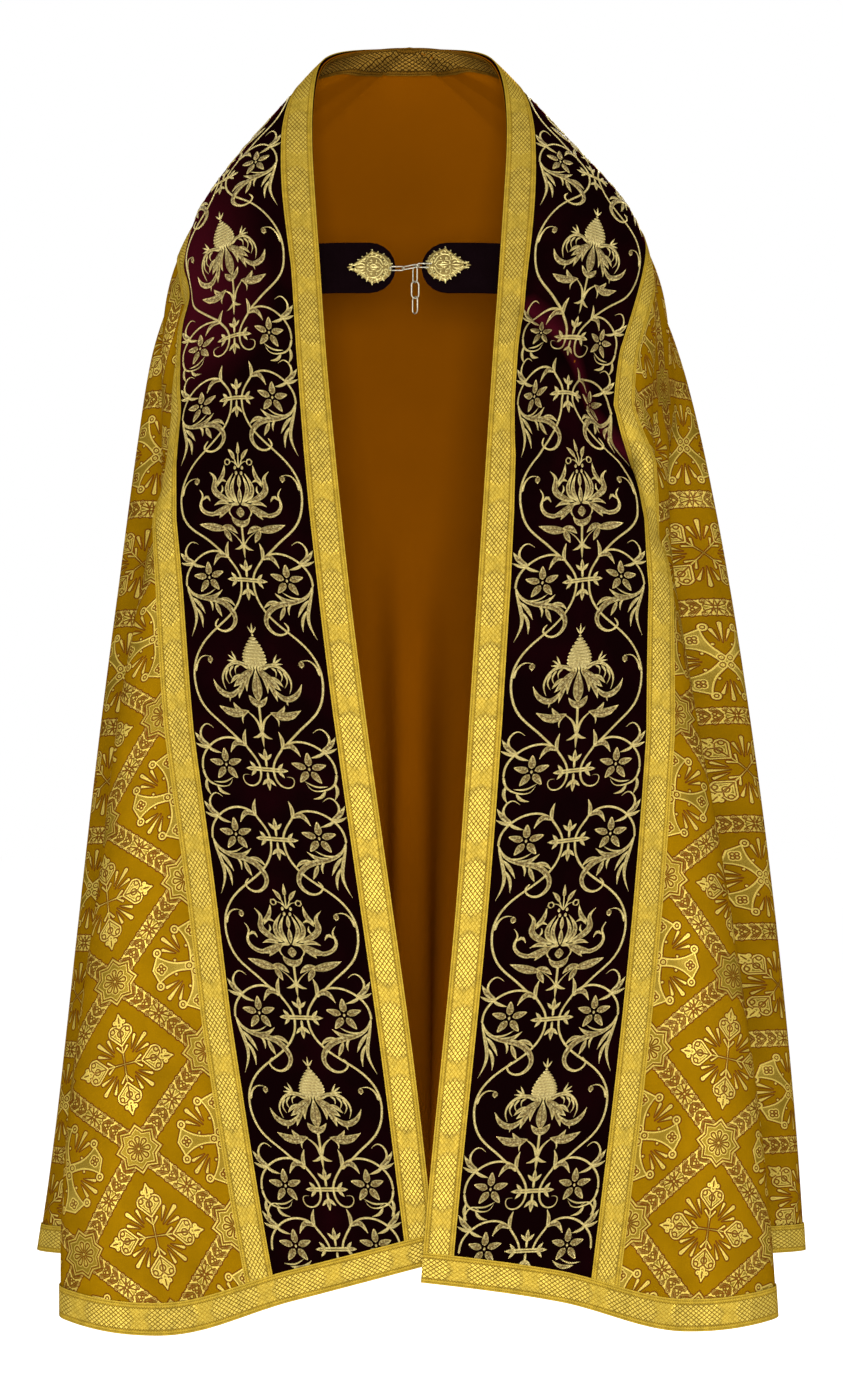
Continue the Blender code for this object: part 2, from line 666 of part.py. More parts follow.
def chain(surface, collection):
    """The eye, the hook, the link between them and the three links that hang from it."""
    across, up = np.array([1.0, 0, 0]), np.array([0, 0, 1.0])
    eye = np.array([(EYE_START + EYE_TIP) / 2, CHAIN_Y, EYE_Z])
    bars = loop(eye, across, up, EYE_TIP - EYE_START, 2 * LOOP_HALF)
    wire("clasp_eye", bars, True, surface, collection)

    caught = np.array([EYE_TIP - CONTACT, CHAIN_Y, EYE_Z])
    rise = (HOOK_Z - EYE_Z) / (LINK_LENGTH - 2 * CONTACT)
    long = np.array([math.sqrt(1 - rise**2), 0, rise])
    roll = math.cos(CATCH_ROLL)
    wide = np.array([-rise * roll, math.sin(CATCH_ROLL), long[0] * roll])
    middle = caught + long * LINK_LENGTH / 2
    link = loop(middle, long, wide, LINK_LENGTH, LINK_WIDTH)
    wire("clasp_link", link, True, surface, collection)

    bend = caught + long * LINK_LENGTH - across * (CONTACT - LOOP_HALF)
    hook = [np.array([HOOK_START, CHAIN_Y, bend[2] + LOOP_HALF])]
    hook += arc(bend, across, up, LOOP_HALF, 90, 270)
    hook += [np.array([HOOK_END, CHAIN_Y, bend[2] - LOOP_HALF])]
    wire("clasp_hook", hook, False, surface, collection)

    bar = middle + long * (TAIL_X - middle[0]) / long[0] - wide * LINK_WIDTH / 2
    for i, turn in enumerate(np.radians(TAIL_TURNS)):
        middle = bar + up * (CONTACT - LINK_LENGTH / 2)
        wide = np.array([math.cos(turn), math.sin(turn), 0])
        link = loop(middle, up, wide, LINK_LENGTH, LINK_WIDTH)
        wire(f"tail_link_{i + 1}", link, True, surface, collection, bar)
        bar = middle - up * LINK_LENGTH / 2


def main():
    for old in list(bpy.data.objects):
        bpy.data.objects.remove(old)
    collection = bpy.data.collections.new("cope")
    bpy.context.scene.collection.children.link(collection)
    velvet = material("velvet", VELVET_COLOUR, 0.85)
    brocade = material("brocade", BROCADE_COLOUR, 0.45)
    galloon = material("galloon", GALLOON_COLOUR, 0.40, 0.5)
    lining = material("lining", LINING_COLOUR, 0.50)

    gilt = material("gilt", GILT_COLOUR, 0.35, 1.0)
    steel = material("steel", STEEL_COLOUR, 0.35, 1.0)
    strap = material("strap", STRAP_COLOUR, 0.80)

    worn = Worn()
    half = VELVET / 2
    under = half + PLY_GAP  # from the middle of the cloth to the lining, and to the galloons
    inside = under + LINING + PLY_GAP  # from there to what is sewn on the lining
    for side, word in ((RIGHT, "right"), (LEFT, "left")):
        body = body_net(worn, side)
        stations = seam_stations(body)
        add_line(body, ORPHREY_WIDTH + GALLOON_WIDTH / 2)
        band = band_net(worn, side, stations)
        for net in (body, band):
            bmesh.ops.triangulate(net, faces=net.faces[:])
        whole = joined(body, band)

        def above_hem(s, t, side=side):
            angle = math.degrees(math.atan2(t, abs(s)))
            return math.hypot(s, t) < worn.hem_radius(side, angle)[0] * HEM_GALLOON_SHARE

        middle = (0, 0.0, side)
        lower, upper = (1, ORPHREY_WIDTH, 1), (1, ORPHREY_WIDTH, -1)

        def at_neck(s, t):
            return t < GALLOON_WIDTH and abs(s) < NECK_FACING_REACH

        strips = {
            "inner": lambda s, t: t < GALLOON_WIDTH and above_hem(s, t),
            "outer": lambda s, t: abs(t - ORPHREY_WIDTH) < GALLOON_WIDTH / 2 and above_hem(s, t),
            "hem": lambda s, t: not above_hem(s, t),
        }
        body_piece = part_from(joined(body), [middle, lower])
        band_piece = part_from(joined(band), [middle, upper])
        whole_piece = part_from(joined(whole), [middle])
        facing = part_from(cut(band, at_neck), [middle])
        tab_half = TAB_THICKNESS / 2
        pieces = [
            ("brocade", body_piece, worn, -half, half, brocade),
            ("orphrey", band_piece, worn, -half, half, velvet),
            ("lining", whole_piece, worn, -under - LINING, -under, lining),
            ("neck_facing", facing, worn, -inside - GALLOON, -inside, galloon),
            ("clasp_tab", tab_net(side), Tab(worn, side), -tab_half, tab_half, strap),
        ]
        for strip, wanted in strips.items():
            net = part_from(cut(whole, wanted), [middle])
            pieces.append((f"galloon_{strip}", net, worn, under, under + GALLOON, galloon))
        for name, net, sheet, low, high, surface in pieces:
            cloth(f"{name}_{word}", net, sheet, low, high, surface, collection)
    for row in PLATES:
        plate(f"clasp_plate_{'left' if row[0] == LEFT else 'right'}", row, gilt, collection)
    chain(steel, collection)


main()
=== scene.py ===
"""A worn cope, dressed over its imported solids: brocade, velvet, lining, braid, embroidery and clasp.

Each cloth is cut flat and then hung. A flat point is (s, t) in metres: s runs along the straight
edge from the nape, positive to the wearer's left (+X), and t is the distance in from that edge.
Drape turns flat points into hanging ones, with the same worn lines as the solids have, and every
layer lies on it at its own height. The frame has +Z up and the wearer facing -Y, with the origin
in the middle of the neck opening at the height of the nape.
"""

import logging
import math
from dataclasses import dataclass, field
from enum import Enum
from typing import Callable, ClassVar, Iterable, Sequence

import bmesh
import bpy
import numpy as np
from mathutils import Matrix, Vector
from mathutils.bvhtree import BVHTree


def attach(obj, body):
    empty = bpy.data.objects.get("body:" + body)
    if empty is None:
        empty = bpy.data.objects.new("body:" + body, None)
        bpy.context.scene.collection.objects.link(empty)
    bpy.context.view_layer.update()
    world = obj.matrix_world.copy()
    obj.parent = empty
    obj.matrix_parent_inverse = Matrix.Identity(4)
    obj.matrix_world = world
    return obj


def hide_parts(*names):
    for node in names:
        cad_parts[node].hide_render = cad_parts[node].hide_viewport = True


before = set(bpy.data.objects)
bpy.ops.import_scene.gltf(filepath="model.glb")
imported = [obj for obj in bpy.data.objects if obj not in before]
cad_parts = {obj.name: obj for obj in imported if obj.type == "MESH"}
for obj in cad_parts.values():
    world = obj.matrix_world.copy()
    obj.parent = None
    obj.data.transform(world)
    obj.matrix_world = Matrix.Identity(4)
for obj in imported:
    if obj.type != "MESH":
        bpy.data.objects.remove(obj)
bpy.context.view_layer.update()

log = logging.getLogger("cope")

Points = np.ndarray
Colour = tuple[float, float, float]

ROOT = "root"
SEAM = 0.00015
SHARP_EDGE = 55.0
BRAID_WIDTH = 0.034
ORPHREY_WIDTH = 0.208
ORPHREY_MIDDLE = 0.1125
HEM_BRAID_SHARE = 0.979
HEM_GAP_SHARE = 0.0001
NECK_BRAID_REACH = 0.150
# The clasp's plane: its y, its lean in degrees, and how deep raised metal is set in
CLASP_Y = -0.1035
CLASP_LEAN = 14.0
SINK = 0.0003


class Wearer(Enum):
    """The wearer's sides, with the sign of s and X on each."""

    RIGHT = -1
    LEFT = 1

    @property
    def word(self) -> str:
        """The side's name as node names end."""
        return self.name.lower()


class Slot(Enum):
    """Names of material slots, which each layer carries; no piece reads them."""

    BROCADE = "brocade"
    VELVET = "velvet"
    LINING = "lining"
    GALLOON = "galloon"
    TAB = "tab"
    GILT = "gilt"


class Layer(Enum):
    """The layers of cloth: slot, and heights of the inner and outer face from the middle of the cloth."""

    LINING = (Slot.LINING, -0.0026, -0.0016)
    BROCADE = (Slot.BROCADE, -0.0010, 0.0010)
    ORPHREY = (Slot.VELVET, -0.0010, 0.0010)
    BRAID = (Slot.GALLOON, 0.0016, 0.0026)
    NECK_BRAID = (Slot.GALLOON, -0.0050, -0.0040)


def spline(knots: Points, values: Points, at: Points) -> Points:
    """Natural cubic spline.

    Args:
        knots: rising places of the known rows.
        values: one row for each knot.
        at: places to read.

    Returns:
        One row for each place in at.
    """
    count = len(knots)
    gaps = np.diff(knots)
    slopes = np.diff(values, axis=0) / gaps[:, None]
    system = np.eye(count)
    right_side = np.zeros_like(values)
    for i in range(1, count - 1):
        system[i, i - 1 : i + 2] = (gaps[i - 1], 2 * (gaps[i - 1] + gaps[i]), gaps[i])
        right_side[i] = 6 * (slopes[i] - slopes[i - 1])
    bends = np.linalg.solve(system, right_side)
    k = np.clip(np.searchsorted(knots, at, side="right") - 1, 0, count - 2)
    gap = gaps[k][:, None]
    ahead = (knots[k + 1] - at)[:, None]
    past = (at - knots[k])[:, None]
    return (
        (bends[k] * ahead**3 + bends[k + 1] * past**3) / (6 * gap)
        + (values[k] / gap - bends[k] * gap / 6) * ahead
        + (values[k + 1] / gap - bends[k + 1] * gap / 6) * past
    )


def smooth_step(low: float, high: float, value: Points) -> Points:
    """0 below low, 1 above high and an S-curve between."""
    x = np.clip((value - low) / (high - low), 0, 1)
    return x * x * (3 - 2 * x)


# The worn lines, each from the nape to the hem.
# Columns: z, x on the wearer's right (its sign left out), x on the left, y right, y left.
FRONT_EDGE = (
    (0.000, 0.000, 0.000, 0.075, 0.075),
    (-0.004, 0.046, 0.046, 0.068, 0.068),
    (-0.014, 0.084, 0.083, 0.045, 0.045),
    (-0.032, 0.104, 0.102, 0.016, 0.016),
    (-0.055, 0.110, 0.110, -0.006, -0.006),
    (-0.100, 0.1135, 0.115, -0.030, -0.030),
    (-0.200, 0.1095, 0.1115, -0.075, -0.075),
    (-0.300, 0.102, 0.1045, -0.106, -0.106),
    (-0.400, 0.0945, 0.097, -0.130, -0.130),
    (-0.500, 0.085, 0.090, -0.148, -0.148),
    (-0.650, 0.069, 0.080, -0.170, -0.170),
    (-0.800, 0.050, 0.070, -0.188, -0.188),
    (-1.000, 0.022, 0.056, -0.206, -0.209),
    (-1.200, -0.006, 0.037, -0.219, -0.229),
    (-1.425, -0.033, 0.0155, -0.235, -0.252),
    (-1.444, -0.0355, 0.0140, -0.236, -0.254),
)
CORNER_Z = {Wearer.RIGHT: -1.425, Wearer.LEFT: -1.444}
FRONT_FOLD = (
    (0.000, 0.000, 0.000, 0.075, 0.075),
    (-0.045, 0.094, 0.092, 0.062, 0.062),
    (-0.103, 0.168, 0.170, 0.032, 0.032),
    (-0.150, 0.208, 0.213, 0.004, 0.004),
    (-0.215, 0.248, 0.262, -0.024, -0.024),
    (-0.300, 0.264, 0.284, -0.062, -0.058),
    (-0.400, 0.268, 0.280, -0.090, -0.088),
    (-0.500, 0.279, 0.281, -0.112, -0.112),
    (-0.650, 0.3005, 0.296, -0.138, -0.138),
    (-0.800, 0.3245, 0.321, -0.158, -0.158),
    (-1.000, 0.346, 0.354, -0.178, -0.178),
    (-1.200, 0.370, 0.381, -0.196, -0.196),
    (-1.400, 0.3825, 0.400, -0.213, -0.213),
    (-1.490, 0.3815, 0.405, -0.220, -0.220),
)
SIDE_FOLD = (
    (0.000, 0.000, 0.000, 0.075, 0.075),
    (-0.060, 0.067, 0.068, 0.098, 0.098),
    (-0.125, 0.137, 0.140, 0.095, 0.095),
    (-0.185, 0.200, 0.205, 0.082, 0.082),
    (-0.250, 0.254, 0.261, 0.062, 0.062),
    (-0.340, 0.298, 0.311, 0.042, 0.042),
    (-0.440, 0.3205, 0.343, 0.047, 0.047),
    (-0.650, 0.353, 0.3885, 0.080, 0.080),
    (-0.800, 0.3745, 0.4135, 0.103, 0.103),
    (-1.000, 0.400, 0.442, 0.130, 0.130),
    (-1.200, 0.424, 0.465, 0.157, 0.157),
    (-1.400, 0.450, 0.483, 0.185, 0.185),
    (-1.485, 0.4635, 0.489, 0.197, 0.197),
)
CENTRE_BACK = (
    (0.000, 0.000, 0.000, 0.075, 0.075),
    (-0.100, 0.000, 0.000, 0.114, 0.114),
    (-0.200, 0.000, 0.000, 0.144, 0.144),
    (-0.300, 0.000, 0.000, 0.169, 0.169),
    (-0.400, 0.000, 0.000, 0.188, 0.188),
    (-0.650, 0.000, 0.000, 0.232, 0.232),
    (-1.000, 0.000, 0.000, 0.293, 0.293),
    (-1.500, 0.000, 0.000, 0.386, 0.386),
)
# Columns: share of the way from the nape to the hem, fold's flat angle on the right, on the left.
FRONT_FOLD_ANGLES = (
    (0.00, 25.5, 28.0),
    (0.27, 25.5, 28.0),
    (0.33, 21.4, 27.5),
    (0.37, 19.7, 25.1),
    (0.41, 18.3, 18.8),
    (0.45, 17.4, 16.6),
    (0.50, 17.2, 15.3),
    (0.60, 16.5, 14.6),
    (0.80, 16.0, 14.6),
    (1.00, 16.2, 14.6),
)
SIDE_FOLD_ANGLE = 44.5
# Columns: flat angle and turn round the plan on the right, the same on the left.
BACK_CRESTS = ((61.0, 38.0, 58.5, 34.0), (75.5, 66.0, 73.0, 62.0), (90.0, 90.0, 90.0, 90.0))
# Columns: share of the way across, bulge at the shoulder, bulge below, dip on the right, on the left.
PANEL = ((0.38, 0.014, 0.010, 0.0165, 0.0035), (0.74, 0.014, 0.010, 0.0325, 0.0220))
HIDDEN_FOLD_INSET = 0.030
UPPER_ARM_BULGE = 0.010
FOLD_CENTRE_Y = 0.070
FOLD_EASE = 0.90
FOLD_START = 0.035
FOLDS_BEGIN = (0.25, 0.50)
NAPE_SHARE = 0.15
# How far a curve round the cloak may run past its chord, and the least sinking that counts
CURVE_LIMIT = 1.25
LEAST_SINK = 1e-5
LEAST = 1e-9


class WornLine:
    """One line of the worn cloth from the nape to the hem, read by its share of the length."""

    SAMPLES = 600

    def __init__(self, rows: Sequence[Sequence[float]], side: Wearer, lowest: float = -math.inf) -> None:
        """Args: rows as in the tables above; side; lowest, the height at which the line ends."""
        z, x_right, x_left, y_right, y_left = np.array(rows).T
        x, y = (x_left, y_left) if side is Wearer.LEFT else (-x_right, y_right)
        points = np.stack([x, y, z], axis=1)
        knots = np.concatenate([[0], np.cumsum(np.linalg.norm(np.diff(points, axis=0), axis=1))])
        self.points = spline(knots, points, np.linspace(0, knots[-1], self.SAMPLES))
        self.points = self.points[self.points[:, 2] > lowest]
        runs = np.linalg.norm(np.diff(self.points, axis=0), axis=1)
        self.along = np.concatenate([[0], np.cumsum(runs)])
        self.length = float(self.along[-1])

    def at(self, share: Points) -> Points:
        """Places at each share of the line's length."""
        place = np.asarray(share) * self.length
        return np.stack([np.interp(place, self.along, self.points[:, i]) for i in range(3)], axis=1)


class HalfCloak:
    """One side of the hanging cloak, from its front edge (0 degrees) to the centre back (90)."""

    def __init__(self, side: Wearer) -> None:
        """Args: side, whose column of each table is used."""
        self.side = side
        self.edge = WornLine(FRONT_EDGE, side, CORNER_Z[side])
        self.fold = WornLine(FRONT_FOLD, side)
        self.flank = WornLine(SIDE_FOLD, side)
        self.back = WornLine(CENTRE_BACK, side)

    def dip(self, row: Sequence[float]) -> float:
        """How far the hem dips at a line of the front panel."""
        return row[4] if self.side is Wearer.LEFT else row[3]

    def radius(self, angle: Points) -> Points:
        """Radius of the flat cut's hem at each angle in degrees.

        Args:
            angle: flat angles from the front edge.

        Returns:
            Metres, one for each angle.
        """
        edge, front = self.edge.length, self.fold.length
        fold = float(self.fold_angle(np.ones(1))[0])
        panel = [(fold * row[0], edge + (front - edge) * row[0] + self.dip(row)) for row in PANEL]
        hind = ((SIDE_FOLD_ANGLE + 90) / 2, (self.flank.length + self.back.length) / 2)
        ends = [(SIDE_FOLD_ANGLE, self.flank.length), hind, (90, self.back.length)]
        knots, reach = np.array([(0, edge), *panel, (fold, front), *ends]).T
        return spline(knots, reach[:, None], np.clip(np.asarray(angle, float), 0, 90))[:, 0]

    def fold_angle(self, share: Points) -> Points:
        """Flat angle of the front fold at each share of the way to the hem."""
        shares, right, left = np.array(FRONT_FOLD_ANGLES).T
        return np.interp(share, shares, left if self.side is Wearer.LEFT else right)

    def back_lines(self) -> list[tuple[float, float]]:
        """Flat angle and turn round the plan of each valley and crest behind the side fold.

        Returns:
            Pairs in degrees, a valley and a crest in turn, up to the centre back.
        """
        lines, before = [], (SIDE_FOLD_ANGLE, 0.0)
        for row in BACK_CRESTS:
            crest = row[2:] if self.side is Wearer.LEFT else row[:2]
            lines.append(((before[0] + crest[0]) / 2, (before[1] + crest[1]) / 2))
            lines.append(crest)
            before = crest
        return lines

    @staticmethod
    def moved_in(places: Points, depth: Points) -> Points:
        """Places moved level towards the middle line of the cloak by depth."""
        way = np.array([0, FOLD_CENTRE_Y, 0]) - places * (1, 1, 0)
        return places + way / (np.linalg.norm(way, axis=1, keepdims=True) + LEAST) * depth

    def controls(self, share: Points) -> tuple[Points, Points]:
        """Flat angles and places of each ring's control points, folds included.

        Args:
            share: shares of the way from the nape to the hem, one for each ring.

        Returns:
            Angles in degrees and places, one row for each ring.
        """
        edge, fold = self.edge.at(share), self.fold.at(share)
        flank, back = self.flank.at(share), self.back.at(share)
        turn = self.fold_angle(share)
        quarters = [turn + (SIDE_FOLD_ANGLE - turn) * i / 4 for i in range(1, 5)]
        behind = [np.full_like(turn, angle) for angle, _ in self.back_lines()]
        across = [turn * row[0] for row in PANEL]
        angles = np.stack([np.zeros_like(turn), *across, turn, *quarters, *behind], axis=1)

        low = smooth_step(*FOLDS_BEGIN, share)[:, None]
        near_nape = np.minimum(1, share / NAPE_SHARE)[:, None]
        rows = [edge]
        for row in PANEL:
            bulge = (row[1] + (row[2] - row[1]) * low) * near_nape
            panel = self.moved_in(edge + (fold - edge) * row[0], -bulge)
            panel[:, 2] -= self.dip(row) * share**3
            rows.append(panel)
        rows.append(fold)
        inset = -UPPER_ARM_BULGE + (HIDDEN_FOLD_INSET + UPPER_ARM_BULGE) * low
        hidden = self.moved_in((fold + flank) / 2, inset * near_nape)
        hind = []
        for _, plan in np.radians(self.back_lines()):
            between = flank + (back - flank) * math.sin(plan)
            between[:, 0] = flank[:, 0] * math.cos(plan)
            hind.append(between)
        crests = [fold, hidden, flank, *hind[1::2]]
        bases = [(fold + hidden) / 2, (hidden + flank) / 2, *hind[0::2]]
        radius = share * self.radius(np.full_like(share, SIDE_FOLD_ANGLE))
        first = len(PANEL) + 1
        for k, base in enumerate(bases):
            cloth_angle = angles[:, first + 2 * k + 2] - angles[:, first + 2 * k]
            legs = np.stack([base - crests[k], crests[k + 1] - base])
            span = np.linalg.norm(legs, axis=2).sum(axis=0)
            spare = np.maximum(0, (radius * np.radians(cloth_angle) * FOLD_EASE) ** 2 - span**2) / 4
            depth = spare / np.sqrt(spare + FOLD_START**2)
            rows += [self.moved_in(base, depth[:, None]), crests[k + 1]]
        return angles, np.stack(rows, axis=1)

    def place(self, radius: Points, angle: Points) -> Points:
        """World places of flat points given by their radius and angle in degrees.

        Args:
            radius: distances from the nape in the flat cut.
            angle: angles from the front edge, as many.

        Returns:
            Places in the frame.
        """
        share = radius / self.radius(angle)
        angles, points = self.controls(share)
        last = points.shape[1] - 1
        count = np.arange(len(share))
        k = np.clip((angles <= angle[:, None]).sum(axis=1) - 1, 0, last - 1)
        chords = np.linalg.norm(np.diff(points, axis=1), axis=2) + LEAST
        ways = np.diff(points, axis=1) / chords[:, :, None]
        weight = (chords[:, :-1] / (chords[:, :-1] + chords[:, 1:]))[:, :, None]
        inner = ways[:, 1:] * weight + ways[:, :-1] * (1 - weight)
        inner /= np.linalg.norm(inner, axis=2, keepdims=True) + LEAST
        first = 1.5 * ways[:, :1] - 0.5 * inner[:, :1]
        end = np.zeros_like(first)
        end[:, 0, 0] = -self.side.value
        tangents = np.concatenate([first, inner, end], axis=1)
        flat = radius[:, None] * np.radians(np.diff(angles, axis=1))
        speed = np.minimum(flat, CURVE_LIMIT * chords)[count, k][:, None]
        x = ((angle - angles[count, k]) / (angles[count, k + 1] - angles[count, k]))[:, None]
        a, b = points[count, k], points[count, k + 1]
        return (
            (2 * x**3 - 3 * x**2 + 1) * a
            + (x**3 - 2 * x**2 + x) * tangents[count, k] * speed
            + (3 * x**2 - 2 * x**3) * b
            + (x**3 - x**2) * tangents[count, k + 1] * speed
        )


@dataclass(frozen=True)
class Crease:
    """A soft trough in the cloth (a ridge where depth is negative), in its flat measures."""

    side: Wearer
    start: tuple[float, float]
    end: tuple[float, float]
    depth: float
    width: float
    level: ClassVar[float] = 0.3
    fading: ClassVar[float] = 0.03

    def sunk(self, flat: Points) -> Points:
        """How far each flat point (s, t) sinks.

        Args:
            flat: points (s, t).

        Returns:
            Depth in metres at each point.
        """
        start = np.array(self.start) * (self.side.value, 1)
        run = np.array(self.end) * (self.side.value, 1) - start
        share = ((flat - start) @ run) / (run @ run)
        off = np.abs((flat - start) @ np.array([-run[1], run[0]])) / np.linalg.norm(run)
        taper = np.exp(-np.maximum(0, np.abs(share - 0.5) - self.level) ** 2 / self.fading)
        return self.depth * np.exp(-((off / self.width) ** 2)) * taper


CREASES = (
    # The buckle of the left band: a trough in two runs, and the ridge below it
    Crease(Wearer.LEFT, (0.465, 0.030), (0.560, 0.142), 0.018, 0.016),
    Crease(Wearer.LEFT, (0.545, 0.136), (0.680, 0.200), 0.016, 0.017),
    Crease(Wearer.LEFT, (0.505, 0.030), (0.655, 0.150), -0.010, 0.022),
    Crease(Wearer.LEFT, (0.640, 0.180), (0.760, 0.225), 0.008, 0.022),
    Crease(Wearer.RIGHT, (0.400, 0.220), (0.480, 0.110), 0.010, 0.028),
    Crease(Wearer.RIGHT, (0.560, 0.190), (0.690, 0.235), 0.006, 0.024),
    # Softer ones behind
    Crease(Wearer.LEFT, (0.300, 0.620), (0.420, 0.780), 0.007, 0.030),
    Crease(Wearer.RIGHT, (0.240, 0.700), (0.400, 0.560), 0.008, 0.034),
    Crease(Wearer.LEFT, (0.620, 0.960), (0.760, 0.800), 0.006, 0.030),
    Crease(Wearer.RIGHT, (0.930, 0.860), (1.040, 0.700), -0.006, 0.036),
)


class Drape:
    """The whole cloak as it hangs: flat points in, places in the frame out."""

    STEP = 0.001

    def __init__(self, creases: Sequence[Crease]) -> None:
        """Args: creases, pressed into the cloth after it is hung."""
        self.halves = {side: HalfCloak(side) for side in Wearer}
        self.creases = creases

    def hem_radius(self, side: Wearer, angle: Points | float) -> Points:
        """Radius of the flat cut on one side, at angles in degrees."""
        return self.halves[side].radius(np.atleast_1d(np.asarray(angle, float)))

    def hung(self, flat: Points) -> Points:
        """Places of flat points before the creases.

        Args:
            flat: points (s, t).

        Returns:
            Places in the frame.
        """
        placed = np.zeros((len(flat), 3))
        for side, half in self.halves.items():
            own = (flat[:, 0] >= 0) == (side is Wearer.LEFT)
            if own.any():
                s, t = side.value * flat[own, 0], flat[own, 1]
                placed[own] = half.place(np.hypot(s, t), np.degrees(np.arctan2(t, s)))
        return placed

    def facing(self, place: Callable[[Points], Points], flat: Points) -> Points:
        """Outward unit normals at flat points, from the slopes of place."""
        along = place(flat + (self.STEP, 0)) - place(flat - (self.STEP, 0))
        across = place(flat + (0, self.STEP)) - place(flat - (0, self.STEP))
        normal = np.cross(along, across)
        return normal / np.maximum(np.linalg.norm(normal, axis=1, keepdims=True), LEAST)

    def place(self, flat: Points) -> Points:
        """Places of flat points.

        Args:
            flat: points (s, t).

        Returns:
            Places in the frame, creases included.
        """
        sunk = np.zeros(len(flat))
        for crease in self.creases:
            sunk += crease.sunk(flat)
        placed = self.hung(flat)
        deep = np.abs(sunk) > LEAST_SINK
        if deep.any():
            placed[deep] -= self.facing(self.hung, flat[deep]) * sunk[deep, None]
        return placed

    def lie(self, flat: Points) -> tuple[Points, Points]:
        """Places and outward normals of flat points."""
        flat = np.asarray(flat, float)
        return self.place(flat), self.facing(self.place, flat)


def add_piece(name: str, points: Points, faces: list, finish: bpy.types.Material,
              marks: dict[str, Points] | None = None) -> bpy.types.Object:
    """Adds a mesh object with smooth faces.

    Args:
        name: the piece's name.
        points: its places.
        faces: lists of point numbers, facing out.
        finish: its material.
        marks: named vectors for each point, which its finish reads.

    Returns:
        The new object, which rides on the root body.
    """
    mesh = bpy.data.meshes.new(name)
    mesh.from_pydata(points.tolist(), [], faces)
    for mark, rows in (marks or {}).items():
        attribute = mesh.attributes.new(mark, "FLOAT_VECTOR", "POINT")
        attribute.data.foreach_set("vector", np.asarray(rows, np.float32).ravel())
    mesh.validate()
    mesh.shade_smooth()
    mesh.materials.append(finish)
    made = bpy.data.objects.new(name, mesh)
    bpy.context.scene.collection.objects.link(made)
    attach(made, ROOT)
    return made


@dataclass
class FlatNet:
    """A net over part of the flat cut, in rows and columns."""

    flat: Points
    faces: list[list[int]]

    @classmethod
    def of(cls, s: Points, t: Points) -> "FlatNet":
        """Net from two arrays of the same shape, its faces turned to look out and its poles closed.

        Args:
            s: distance along the straight edge, in rows and columns.
            t: distance in from it, in the same rows and columns.

        Returns:
            The net, its equal points made one.
        """
        flat = np.stack([s.ravel(), t.ravel()], axis=1)
        count, wide = s.shape
        index = np.arange(count * wide).reshape(count, wide)
        corners = (index[:-1, :-1], index[1:, :-1], index[1:, 1:], index[:-1, 1:])
        quads = np.stack(corners, axis=-1).reshape(-1, 4)
        corner = flat[quads]
        turned = np.roll(corner, -1, axis=1)
        area = (corner[..., 0] * turned[..., 1] - turned[..., 0] * corner[..., 1]).sum(axis=1)
        quads[area < 0] = quads[area < 0][:, ::-1]
        _, first, same = np.unique(np.round(flat, 6), axis=0, return_index=True, return_inverse=True)
        faces = []
        for quad in same.reshape(-1)[quads]:
            around = [int(p) for i, p in enumerate(quad) if p != quad[i - 1]]
            if len(around) > 2:
                faces.append(around)
        return cls(flat[first], faces)

    def rim(self) -> list[tuple[int, int]]:
        """Edges that only one face has, in that face's direction."""
        edges = {(f[i - 1], f[i]) for f in self.faces for i in range(len(f))}
        return [(i, j) for i, j in edges if (j, i) not in edges]


def hang(name: str, net: FlatNet, drape: Drape, back: float, top: float, finish: bpy.types.Material,
         marks: dict[str, Points] | None = None) -> bpy.types.Object:
    """Hangs a closed sheet of cloth over a flat net, between two heights.

    Args:
        name: the piece's name.
        net: its flat net.
        drape: how it hangs.
        back: height of its inner face.
        top: height of its outer face.
        finish: its material.
        marks: vectors for each flat point, beside its flat place.

    Returns:
        The sheet.
    """
    middle, normal = drape.lie(net.flat)
    count = len(net.flat)
    points = np.concatenate([middle + normal * top, middle + normal * back])
    faces = net.faces + [[i + count for i in reversed(face)] for face in net.faces]
    faces += [[j, i, i + count, j + count] for i, j in sorted(net.rim())]
    both = {"flat": np.pad(net.flat, ((0, 0), (0, 1)))} | (marks or {})
    made = add_piece(name, points, faces, finish, {k: np.concatenate([v, v]) for k, v in both.items()})
    made.data.set_sharp_from_angle(angle=math.radians(SHARP_EDGE))
    return made


def hue(red: int, green: int, blue: int) -> Colour:
    """A colour in linear light from its display values, 0 to 255."""
    shares = [value / 255 for value in (red, green, blue)]
    return tuple(v / 12.92 if v <= 0.04045 else ((v + 0.055) / 1.055) ** 2.4 for v in shares)


